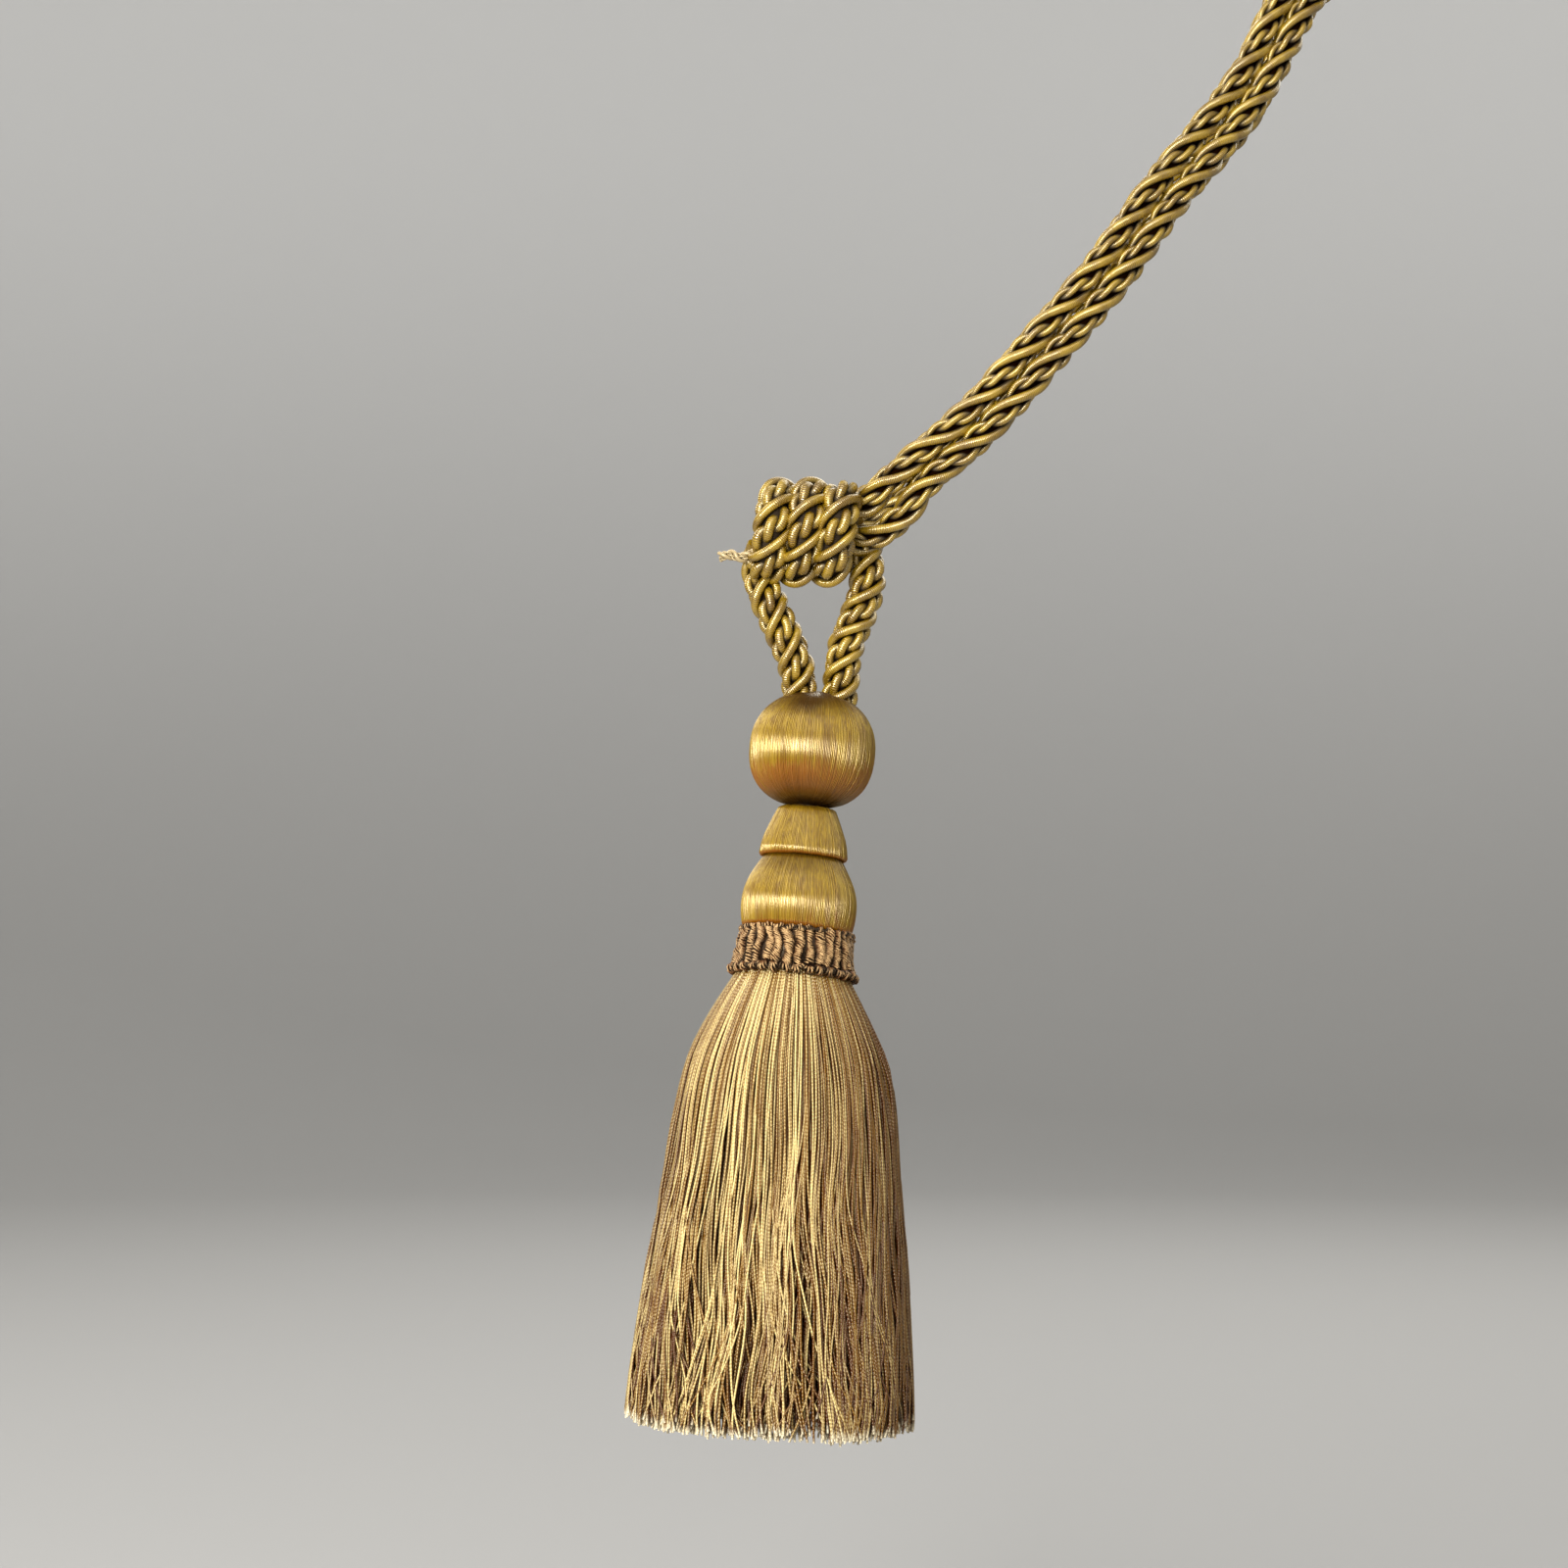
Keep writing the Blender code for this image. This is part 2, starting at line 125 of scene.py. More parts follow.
# The frayed end of the binding thread, out of the knot's left side, and the sizes of its strands in metres
TAIL = (
    (-198.0, -66.5, -229.6), (-201.5, -68.6, -230.8), (-204.5, -69.2, -231.9), (-207.5, -68.8, -230.9),
    (-211.3, -68.2, -231.5),
)
TAIL_STEP = 0.4
TAIL_THREAD = {
    "Strand Radius": 0.00062, "Strand Offset": 0.0012, "Ply Radius": 0.0003, "Ply Offset": 0.0004,
    "Small Rope Offset": 0.0009, "Turn Length": 0.0085, "Ply Turn Length": -0.004, "Core Radius": 0.0001,
    "Outer Radius": 0.0003, "Phase": 0.0,
}

# How the rope is laid
STRAND_SIDES, PLY_SIDES = 10, 8
PLY_TURN_SHARE, SLACK_PLY_TURN_SHARE = 0.42, 0.52  # the small ropes' turn over the rope's, taut and slack
PUFF_POWER = 1.3               # how the small ropes swell as the rope thickens
PLY_PRESS = 0.92               # two plies lie this share of their radius from the small rope's middle
# The core is a dark filler, all in painted shade, seen between the strands
CORE_SHARE = 1.9               # the core reaches this many strand radii short of the rope's surface

# ---- the tassel, down its own axis

BALL_CENTRE = Vector((-181.6, -66.0, -293.2)) * MM
# Painted shadow of the loop's legs on the top of the ball
LOOP_RUB = Vector((-183.0, -78.5, -277.0)) * MM    # middle of the brown patch between the loop's legs
HEAD_TURN = Euler((math.radians(-8.0), math.radians(5.0), 0.0))

# Profiles as (radius, height) rows in millimetres, from the top down the outer side
BALL_RADIUS, BALL_HALF_HEIGHT = 19.9, 18.4
BALL_UPPER_FULLNESS, BALL_LOWER_FULLNESS = 2.18, 2.5     # 2 is round, more is squarer
BALL_ROWS = 30
BALL_HOLE = ((2.0, 0.8), (4.6, 0.1))               # radius and depth of the rows that close into its hole
BELL_PROFILE = (
    (3.0, -19.2), (8.2, -19.2), (9.2, -19.7), (9.7, -20.8), (10.8, -23.4), (11.9, -26.2), (12.8, -28.6),
    (13.35, -30.6), (13.65, -32.2), (13.95, -34.3), (13.7, -34.8), (13.0, -34.9), (10.0, -34.9), (3.0, -34.9),
)
BULB_TOP, BULB_BOTTOM, BULB_WIDEST = -35.3, -58.5, -50.5
BULB_TOP_RADIUS, BULB_RADIUS, BULB_BOTTOM_RADIUS = 12.4, 18.2, 17.2
BULB_HOLE, BULB_SHOULDER = 3.0, 2.5
BULB_UPPER_ROWS, BULB_LOWER_ROWS = 11, 5
FLOSS_BED, FLOSS_BED_FROM = 0.15, 4                # how far a bead lies under its threads, past this radius
THREAD_WIDTH_SHARE, THREAD_HEIGHT_SHARE = 0.75, 0.36     # half sizes of a thread over the thread spacing
THREAD_LEAST_SHARE = 0.35      # of its width, that a thread keeps in the bead's hole
RUFF_TOP, RUFF_BOTTOM = -58.0, -72.9
RUFF_TOP_RADIUS, RUFF_BOTTOM_RADIUS, RUFF_BORE = 18.6, 20.7, 15.8
# Profile of the band that the coils are sewn on; it is drawn all in near-black painted shade
RUFF_BAND = (
    (RUFF_BORE, RUFF_TOP - 0.4), (RUFF_TOP_RADIUS - 2.0, RUFF_TOP - 0.6),
    (RUFF_BOTTOM_RADIUS - 2.2, RUFF_BOTTOM + 1.0), (RUFF_BORE, RUFF_BOTTOM + 0.4),
    (RUFF_BORE, RUFF_TOP - 0.4),
)
BAND_SIDES, GIMP_SIDES = 96, 6
# A coil: how much shorter than the ruff, its width over its spacing, its half depth, how far its middle lies
# in from the ruff's top radius and under its top, the slant of its turns, and how far it leans, in radians
COIL_SHORTER, COIL_WIDTH_SHARE, COIL_HALF_DEPTH = 3.4, 0.97, 1.3
COIL_INSET, COIL_DROP, COIL_SLANT, COIL_LEAN, COIL_SEED, COIL_POINTS = 1.8, 1.4, -0.38, 0.13, 4, 10
COIL_UNEVENNESS = ((130.0, 0.0034), (420.0, 0.0014), (1100.0, 0.0007))   # noise scale, distance in metres
# The edges, in metres: names of radius and height, half thickness of the loops, how far they dip
RUFF_EDGES = (("Top Edge Radius", "Top", 0.00085, 0.0003), ("Bottom Edge Radius", "Bottom", 0.00125, -0.0007))
EDGE_TURNS, EDGE_POINTS = 150, 12                  # turns of yarn round the ruff, and points in each
EDGE_INSET = 1.2
EDGE_PINCH = 0.6               # how far the yarn is drawn in between two loops, from 0 to 1
EDGE_UNEVENNESS, EDGE_REACH = 0.0022, 0.0004       # in metres
SKIRT_TOP, SKIRT_HEM = -70.0, -213.8
# Below the ruff the skirt hangs this much nearer to plumb, sideways and to the back
SKIRT_SWING, SKIRT_BACK_SWING = math.tan(math.radians(1.9)), math.tan(math.radians(5.0))
SKIRT_DEPTH_RATIO = 0.84
HEM_SLOPE_ACROSS, HEM_SLOPE_BACK = math.tan(math.radians(2.1)), math.tan(math.radians(9.0))
# Rows: share of the way down, radius of the outer yarns seen from the front
SKIRT_OUTLINE = (
    (0.0, 16.5), (0.025, 18.4), (0.08, 23.0), (0.155, 28.4), (0.23, 32.6), (0.33, 35.3), (0.47, 37.7),
    (0.62, 40.5), (0.79, 43.1), (0.9, 44.6), (1.0, 45.6),
)
OUTLINE_SCALE = 60.0           # radius that the outline's curve counts as one
# Painted shade on each yarn's flanks
FLANK_DEPTH = 0.13             # how much deeper a yarn's flanks count as lying, in shares of the outline
FLAT_FROM = 0.25               # share of the way down from which the skirt has its full flatness
# The larger these are, the later a yarn turns to the level hem, crosses its neighbours and wanders
LEVEL_POWER, CROSSING_POWER, WANDER_POWER = 2.4, 3.6, 1.5
CROSSING_LIMITS = (-0.75, 1.25)                    # of a yarn's crossing, as shares of its layer's
WILD_POWER, WILD_EXTRA = 5.0, 2.6                  # how few yarns stray far, and how much farther
LOOSE_LEFT_AND_RIGHT = (0.6, 1.5)                  # how loosely a yarn hangs there
# Painted shade on the right of the skirt, away from the light
BROWNER_ON_RIGHT = (0.1, 1.0, 0.0, -0.4)           # where the brown starts and is full, and the tint at each
# Columns: name, yarns, points, sides, inner and outer share of the outline, shortest, crossing, seed
SKIRT_LAYERS = (
    ("skirt_outer", 430, 28, 5, 0.955, 0.99, 0.985, 0.13, 11),
    ("skirt_wisps", 400, 29, 5, 0.92, 0.99, 0.98, 0.62, 23),
    ("skirt_under", 480, 22, 4, 0.85, 0.94, 0.975, 0.25, 29),
    ("skirt_middle", 620, 14, 4, 0.72, 0.88, 0.96, 0.20, 37),
    ("skirt_inner", 560, 10, 4, 0.40, 0.74, 0.95, 0.25, 51),
)

# ---- patterns, in metres

WRAP_SPACING = 0.00055         # one wrap of floss round a rope's strand
GIMP_SPACING = 0.0006          # one ply of the ruff's yarn, along it
YARN_PLY_SPACING = 0.0011      # one ply of the skirt's yarn, drawn as coarse as it needs to show
YARN_DRAWN_LENGTH = 0.1438     # of a yarn, from the ruff to the hem
# Noise scales over x, y and z for the floss's threads, about 0.8 mm wide, and its bundles, about 3 mm
STREAKS, BUNDLES = (1300.0, 1300.0, 40.0), (420.0, 420.0, 16.0)
# The third colour of the frayed thread is painted shade down between its strands
FRAYED_COLOURS = ("#A8946C", "#CCBC96", "#8C7850")       # the frayed thread: its shade, its light, its depth

# Kinds of node that are used often, and two vectors
MATH, VECTOR, MIX, RANGE = "ShaderNodeMath", "ShaderNodeVectorMath", "ShaderNodeMix", "ShaderNodeMapRange"
NOISE, ATTRIBUTE, COORDINATES = "ShaderNodeTexNoise", "ShaderNodeAttribute", "ShaderNodeTexCoord"
COMBINE, SEPARATE = "ShaderNodeCombineXYZ", "ShaderNodeSeparateXYZ"
STORE, READ = "GeometryNodeStoreNamedAttribute", "GeometryNodeInputNamedAttribute"
MOVE, TRANSFORM, JOIN = "GeometryNodeSetPosition", "GeometryNodeTransform", "GeometryNodeJoinGeometry"
POSITION, NORMAL, TANGENT = (f"GeometryNodeInput{name}" for name in ("Position", "Normal", "Tangent"))
GROUP = "GeometryNodeGroup"
CIRCLE, TUBE = "GeometryNodeCurvePrimitiveCircle", "GeometryNodeCurveToMesh"
INSTANCES, REALIZE = "GeometryNodeInstanceOnPoints", "GeometryNodeRealizeInstances"
RANDOM = "FunctionNodeRandomValue"
HALF, LEVEL = (0.5, 0.5, 0.5), (1.0, 1.0, 0.0)


# ---- helpers

def srgb(code):
    """A hex colour such as #B8922E as linear red, green, blue and alpha."""
    channels = [int(code[i:i + 2], 16) / 255 for i in (1, 3, 5)]
    return (*[c / 12.92 if c <= 0.04045 else ((c + 0.055) / 1.055) ** 2.4 for c in channels], 1.0)


def first_output(value):
    """A node's first output in use. Any other value stays as it is."""
    return next(out for out in value.outputs if out.enabled) if isinstance(value, bpy.types.Node) else value


def add_node(tree, kind, inputs=(), operation=None, **settings):
    """Add a node with its operation, settings and links.

    inputs maps a socket's name to a value, or is a row of values for the sockets in use, in their order. A
    value is a constant, a node or a node's output; a list of nodes is joined at one socket.
    """
    made = tree.nodes.new(kind)
    for key, value in (settings if operation is None else {"operation": operation, **settings}).items():
        setattr(made, key, value)
    named = isinstance(inputs, dict)
    sockets = [made.inputs[key] for key in inputs] if named else [s for s in made.inputs if s.enabled]
    for socket, value in zip(sockets, inputs.values() if named else inputs):
        for source in map(first_output, value if isinstance(value, list) else [value]):
            if isinstance(source, bpy.types.NodeSocket):
                tree.links.new(source, socket)
            else:
                socket.default_value = source
    return made


def new_tree(name, **labels):
    """A tree with a geometry input and these inputs of each type; also its adder of nodes and its inputs."""
    tree = bpy.data.node_groups.new(name, "GeometryNodeTree")
    for kind, row in {"Geometry": "Geometry", **labels}.items():
        for label in row.split(", "):
            tree.interface.new_socket(label, in_out="INPUT", socket_type="NodeSocket" + kind)
    tree.interface.new_socket("Geometry", in_out="OUTPUT", socket_type="NodeSocketGeometry")
    add = partial(add_node, tree)
    return tree, add, add("NodeGroupInput").outputs


def end_tree(add, geometry, material):
    """Finish a tree: real geometry, smooth, with its material, at the output."""
    smooth = add("GeometryNodeSetShadeSmooth", (add(REALIZE, (geometry,)),))
    add("NodeGroupOutput", (add("GeometryNodeSetMaterial", {"Geometry": smooth, "Material": material}),))


def wandering(add, noise, amount, **settings):
    """An offset that follows a noise with these inputs, up to half the amount each way."""
    colour = add(NOISE, noise, **settings).outputs["Color"]
    return add(VECTOR, (add(VECTOR, (colour, HALF), "SUBTRACT"), amount), "SCALE")


def linked(piece):
    """The same object, now in the scene."""
    bpy.context.scene.collection.objects.link(piece)
    return piece


def evaluated_mesh(carrier):
    """What a carrier's modifiers make of it, as a plain mesh; the carrier is removed."""
    mesh = bpy.data.meshes.new_from_object(carrier.evaluated_get(bpy.context.evaluated_depsgraph_get()))
    bpy.data.objects.remove(carrier)
    return mesh


def grown(name, data, tree, values, transform=None):
    """A plain mesh object: the tree run on this mesh or curve with these values for its inputs."""
    carrier = linked(bpy.data.objects.new(name + "_carrier", data))
    modifier = carrier.modifiers.new("Grow", "NODES")
    modifier.node_group = tree
    for item in tree.interface.items_tree:
        if item.in_out == "INPUT" and item.name in values:
            modifier[item.identifier] = values[item.name]
    mesh = evaluated_mesh(carrier)
    if transform is not None:
        mesh.transform(transform)
    mesh.name = name
    return linked(bpy.data.objects.new(name, mesh))


def placed(piece, slot, *nodes):
    """The piece moves with the part and stands for these nodes; the slot is not used."""
    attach(piece, BODY)
    if nodes:
        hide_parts(*nodes)
    return piece


def head_matrix():
    """From the tassel's own axis to its place."""
    return Matrix.Translation(BALL_CENTRE) @ HEAD_TURN.to_matrix().to_4x4()


def spaced(points, step):
    """The same line, with its points at equal distances of about `step`."""
    reach = [0.0]
    for a, b in zip(points, points[1:]):
        reach.append(reach[-1] + (b - a).length)
    count = max(2, round(reach[-1] / step) + 1)
    result, span = [], 0
    for i in range(count):
        at = reach[-1] * i / (count - 1)
        while span < len(points) - 2 and reach[span + 1] < at:
            span += 1
        share = (at - reach[span]) / (reach[span + 1] - reach[span])
        result.append(points[span].lerp(points[span + 1], min(share, 1.0)))
    return result


def smooth_curve(rows, step=PATH_STEP):
    """Points `step` apart on a smooth curve through the rows, in millimetres."""
    knots = [Vector(row) for row in rows]
    knots = [2 * knots[0] - knots[1]] + knots + [2 * knots[-1] - knots[-2]]
    dense = []
    for before, start, end, after in zip(knots, knots[1:], knots[2:], knots[3:]):
        for i in range(CURVE_STEPS):
            t = i / CURVE_STEPS
            dense.append(0.5 * (2 * start + (end - before) * t
                                + (2 * before - 5 * start + 4 * end - after) * t ** 2
                                + (3 * start - before - 3 * end + after) * t ** 3))
    dense.append(knots[-2])
    return spaced(dense, step)


def path_curve(name, points):
    """A curve of straight pieces through the points, in millimetres."""
    curve = bpy.data.curves.new(name, "CURVE")
    curve.dimensions = "3D"
    spline = curve.splines.new("POLY")
    spline.points.add(len(points) - 1)
    for spline_point, point in zip(spline.points, points):
        spline_point.co = (*(point * MM), 1.0)
    return curve


def length_property(name, description, default):
    return FloatProperty(name=name, description=description, default=default, unit="LENGTH")


def colour_property(name, description, code):
    return FloatVectorProperty(name=name, description=description, default=srgb(code), size=4,
                               subtype="COLOR")


def power_property(name, description, default):
    return FloatProperty(name=name, description=description, default=default, unit="POWER")


# ---- materials

def new_material(name, **constants):
    """A material whose Principled BSDF holds these constants on its own sockets, and its adder of nodes."""
    material = bpy.data.materials.new(name)
    material.use_nodes = True
    for label, value in constants.items():
        material.node_tree.nodes["Principled BSDF"].inputs[label.replace("_", " ")].default_value = value
    return material, partial(add_node, material.node_tree)


def finished(material, **sources):
    """The material, with these nodes linked to its shader's sockets."""
    tree = material.node_tree
    for label, source in sources.items():
        tree.links.new(first_output(source), tree.nodes["Principled BSDF"].inputs[label.replace("_", " ")])
    return material


def toned(add, value, start, end, low, high):
    """From the low colour to the high one, as the value goes from start to end."""
    return add(MIX, (add(RANGE, (value, start, end)), low, high), data_type="RGBA")


def shaded_by_reach(add, colour, deep, start, end):
    """Painted shade: the colour where a strand stands out, and the deep colour down between strands, where
    shade falls.
    """
    reach = add(ATTRIBUTE, attribute_name="reach").outputs["Fac"]
    out = add(RANGE, (reach, start, end), interpolation_type="SMOOTHSTEP")
    return add(MIX, (out, deep, colour), data_type="RGBA")


def gimp_cord_material(settings):
    """Rayon gimp: glossy floss wrapped round a core, so fine ridges cross each strand."""
    material, add = new_material(
        "Rayon gimp, wrapped", Specular_IOR_Level=1.0, IOR=1.88, Specular_Tint=srgb("#FFF6D6"))
    along = add(ATTRIBUTE, attribute_name="along").outputs["Fac"]
    place = add(COORDINATES).outputs["Object"]
    mottle = add(NOISE, {"Vector": place, "Scale": 160.0, "Detail": 3.0})
    turns = add(MATH, (along, FULL_TURN / WRAP_SPACING), "MULTIPLY")
    wobble = add(MATH, (mottle, 14.0, turns), "MULTIPLY_ADD")
    ridge = add(MATH, (wobble,), "SINE")
    # Painted light and shade across the wraps: lighter on each ridge, darker between, over the floss's own
    # mottled tone
    uneven = add(MATH, (ridge, 0.16, mottle), "MULTIPLY_ADD")
    colour = toned(add, uneven, 0.3, 0.7, settings.shade, settings.light)
    # Painted shade: near black down between the strands
    shaded = shaded_by_reach(add, colour, srgb("#220E02"), 0.56, 0.9)
    bump = add("ShaderNodeBump", {"Height": ridge, "Strength": 0.7, "Distance": 0.00005})
    # Satin on the crests; down between the strands, in the painted shade, no gloss is left
    reach = add(ATTRIBUTE, attribute_name="reach").outputs["Fac"]
    rough, metal = (add(RANGE, (reach, 0.52, 0.76, *limits)) for limits in ((0.9, 0.25), (1.0, 0.22)))
    return finished(material, Base_Color=shaded, Roughness=rough, Metallic=metal, Normal=bump)


def floss_material(settings):
    """Satin floss laid side by side: smooth threads, so light runs across them in one bright band."""
    material, add = new_material(
        "Satin floss, laid", Metallic=0.2, Roughness=0.33, Anisotropic=0.9, Specular_IOR_Level=1.0, IOR=1.65,
        Specular_Tint=srgb("#FFF4D0"), Sheen_Weight=0.05, Sheen_Roughness=0.25, Sheen_Tint=srgb("#F6EAC4"))
    # Highlights spread round the bead, across its upright threads
    round_bead = add("ShaderNodeTangent", direction_type="RADIAL", axis="Z")
    coordinates = add(COORDINATES).outputs
    # Streaks and bundles follow the threads: both are stretched along the tassel's axis
    streak, bundle = (
        add(NOISE, {"Vector": add("ShaderNodeMapping", {"Vector": coordinates["Object"], "Scale": scale}),
                    "Scale": 1.0, "Detail": detail})
        for scale, detail in ((STREAKS, 2.0), (BUNDLES, 1.0)))
    both = add(MATH, (bundle, 0.6, streak), "MULTIPLY_ADD")
    colour = toned(add, both, 0.55, 0.98, settings.floss_shade, settings.floss_light)
    # Painted shade: the underside of a bead, turned from the light, is drawn a deeper amber
    upward = add(SEPARATE, (coordinates["Normal"],)).outputs["Z"]
    jagged = add(MATH, (streak, 0.5, upward), "MULTIPLY_ADD")
    under = add(RANGE, (jagged, 0.3, 0.02), interpolation_type="SMOOTHSTEP")
    # Painted shadow: a brown patch under the loop, where its legs shade the top of the ball
    from_rub = add("ShaderNodeMapping", {"Vector": coordinates["Object"], "Location": -LOOP_RUB})
    ragged = add(MATH, (streak, -0.012, add(VECTOR, (from_rub,), "LENGTH")), "MULTIPLY_ADD")
    rubbed = add(RANGE, (ragged, 0.001, -0.004), interpolation_type="SMOOTHSTEP")
    # and a bead's shoulders lie in the shade of what is above them
    shoulder = add(RANGE, (upward, 0.4, 0.95, 0.0, 0.82))
    deep = settings.floss_deep
    for share, tone in ((under, settings.floss_under), (rubbed, deep), (shoulder, deep)):
        colour = add(MIX, (share, colour, tone), data_type="RGBA")
    # Painted shade where a bead narrows towards its holes
    return finished(material, Base_Color=shaded_by_reach(add, colour, deep, 0.46, 0.96), Tangent=round_bead)


def ruff_material(settings):
    """Spun gimp yarn, duller than the floss, with its fibres round the coils."""
    material, add = new_material(
        "Spun gimp, coiled", Roughness=0.5, Specular_IOR_Level=0.5, IOR=1.5, Specular_Tint=srgb("#FFE6BE"),
        Sheen_Weight=0.05, Sheen_Roughness=0.5, Sheen_Tint=srgb("#E8CFA0"))
    coordinates = add(COORDINATES).outputs
    mottle = add(NOISE, {"Vector": coordinates["Object"], "Scale": 900.0, "Detail": 3.0})
    # Painted light and shade: each coil is lighter on its crest, facing away from the tassel's axis, than on
    # its flanks
    middle = head_matrix() @ Vector((0.0, 0.0, (RUFF_TOP + RUFF_BOTTOM) / 2 * MM))
    away = add(VECTOR, (coordinates["Object"], middle), "SUBTRACT")
    outward = add(VECTOR, (add(VECTOR, (away, LEVEL), "MULTIPLY"),), "NORMALIZE")
    facing = add(VECTOR, (coordinates["Normal"], outward), "DOT_PRODUCT")
    lit = add(MATH, (mottle, 0.9, facing), "MULTIPLY_ADD")
    colour = toned(add, lit, 0.98, 1.6, settings.ruff_shade, settings.ruff_light)
    along = add(ATTRIBUTE, attribute_name="along").outputs["Fac"]
    ridge = add(MATH, (add(MATH, (along, FULL_TURN / GIMP_SPACING), "MULTIPLY"),), "SINE")
    bump = add("ShaderNodeBump", {"Height": ridge, "Strength": 0.5, "Distance": 0.0001})
    # Painted shade at the backs of the coils, inside the edge loops and on the band
    shaded = shaded_by_reach(add, colour, srgb("#1A0A04"), 0.6, 1.0)
    return finished(material, Base_Color=shaded, Normal=bump)


def yarn_material(name, shade, light, deep, end):
    """Plied rayon yarn with a soft gloss; its cut ends are paler."""
    material, add = new_material(
        name, Roughness=0.3, Specular_IOR_Level=1.0, IOR=1.5, Specular_Tint=srgb("#FFF0CC"))
    tint, tip = (add(ATTRIBUTE, attribute_name=label).outputs["Fac"] for label in ("tint", "down"))
    mottle = add(NOISE, {"Vector": add(COORDINATES).outputs["Object"], "Scale": 700.0, "Detail": 2.0})
    # The plies cross the yarn from a start of its own in each yarn
    own = add(MATH, (tint, 97.0), "MULTIPLY")
    plies = add(MATH, (tip, FULL_TURN * YARN_DRAWN_LENGTH / YARN_PLY_SPACING, own), "MULTIPLY_ADD")
    ridge = add(MATH, (plies,), "SINE")
    mottled = add(MATH, (mottle, 0.6, tint), "MULTIPLY_ADD")
    # The ply ridges are drawn lighter and darker, a painted light and shade over the yarn's own mottled tone
    plied = add(MATH, (ridge, 0.17, mottled), "MULTIPLY_ADD")
    # Painted shade on the inner layers and on each yarn's flanks
    shaded = shaded_by_reach(add, toned(add, plied, 0.44, 1.2, shade, light), deep, 0.89, 0.985)
    paler = add(MATH, (tint, 0.012, tip), "MULTIPLY_ADD")
    ends = toned(add, paler, 0.988, 1.01, shaded, end)
    bump = add("ShaderNodeBump", {"Height": ridge, "Strength": 0.8, "Distance": 0.00008})
    return finished(material, Base_Color=ends, Normal=bump)


# ---- the rope

def pair_rows(route, side):
    """Rows of one rope of the pair: the upper one for side 1, the lower one for side -1."""
    middle = [Vector(row) for row in route]
    rows = []
    for i, point in enumerate(middle):
        along = middle[min(i + 1, len(middle) - 1)] - middle[max(i - 1, 0)]
        across = Vector((-along.z, 0.0, along.x)).normalized()
        rows.append(point + across * PAIR_HALF_SPACING * side)
    return rows


def hook_loop_rows(route, seat):
    """Rows of the teardrop loop, from the end of the upper rope round the hook to that of the lower one."""
    start = Vector(route[-1])
    along = (Vector(seat) - start).normalized()
    across = Vector((-along.z, 0.0, along.x)).normalized()
    centre = Vector(seat) + along * (SEAT_DEPTH - LOOP_RADIUS)
    opening, rounding = [], []
    for i in range(1, LOOP_ROWS):
        share = i / LOOP_ROWS
        ease = share * share * (3 - 2 * share)
        half = PAIR_HALF_SPACING + (LOOP_RADIUS - PAIR_HALF_SPACING) * ease
        opening.append((start.lerp(centre, share), half))
    for i in range(2 * LOOP_ROWS + 1):
        angle = math.pi / 2 - math.pi * i / (2 * LOOP_ROWS)
        rounding.append(centre + LOOP_RADIUS * (across * math.sin(angle) + along * math.cos(angle)))
    upper = [point + across * half for point, half in opening]
    lower = [point - across * half for point, half in reversed(opening)]
    return upper + rounding + lower


def doubled_rope_path(route, seat, upper_entry, lower_entry):
    """From the knot up the upper rope, round the hook, and down the lower rope to the knot."""
    upper = [Vector(row) for row in upper_entry] + pair_rows(route, 1)
    lower = [Vector(row) for row in lower_entry] + pair_rows(route, -1)
    return smooth_curve(upper + hook_loop_rows(route, seat) + lower[::-1])


def knot_path():
    """Three turns, up in front and down behind, whose ends are tucked into the core."""
    depth, height = KNOT_PATH_RADII
    rows = []
    for degrees in range(KNOT_START, KNOT_END + 1, KNOT_STEP):
        angle = math.radians(degrees)
        from_end = min(degrees - KNOT_START, KNOT_END - degrees)
        tuck = min(1.0, KNOT_TUCKED + from_end / KNOT_TUCK)
        least, most = KNOT_END_TURNS
        turn = min(max((degrees - KNOT_FIRST_TURN) / 360, least), most) - 1
        rows.append(Vector(KNOT_CENTRE) + Vector((
            KNOT_TURN_SPACING * turn, -depth * tuck * math.sin(angle) - KNOT_TURN_LAP * turn,
            -height * tuck * math.cos(angle))))
    return smooth_curve(rows, SLACK_STEP)


def winding_group():
    """A group that winds a line round a curve: out by the radius, one turn in each turn length."""
    group, add, given = new_tree("Wind round a line", Float="Radius, Turn Length, Start Angle")
    length = add("GeometryNodeSplineParameter").outputs["Length"]
    turns = add(MATH, (length, given["Turn Length"]), "DIVIDE")
    angle = add(MATH, (turns, FULL_TURN, given["Start Angle"]), "MULTIPLY_ADD")
    outward = add("ShaderNodeVectorRotate", {"Vector": add(NORMAL), "Axis": add(TANGENT), "Angle": angle},
                  rotation_type="AXIS_ANGLE")
    offset = add(VECTOR, (outward, given["Radius"]), "SCALE")
    add("NodeGroupOutput", (add(MOVE, {"Geometry": given["Geometry"], "Offset": offset}),))
    return group


def crevice_group():
    """A group that stores how far out from its line each point lies, so that crevices can be shaded."""
    group, add, given = new_tree("Crevice depth", Float="Outer Radius")
    line = add(READ, {"Name": "line"}, data_type="FLOAT_VECTOR")
    away = add(VECTOR, (add(POSITION), line), "DISTANCE")
    reach = add(MATH, (away, given["Outer Radius"]), "DIVIDE")
    stored = add(STORE, {"Geometry": given["Geometry"], "Name": "reach", "Value": reach})
    add("NodeGroupOutput", (add("GeometryNodeRemoveAttribute", {"Geometry": stored, "Name": "line"}),))
    return group


def with_line(add, curve):
    """The curve, with each point's own place stored as the middle that strands are later laid round."""
    return add(STORE, {"Geometry": curve, "Name": "line", "Value": add(POSITION)}, data_type="FLOAT_VECTOR")


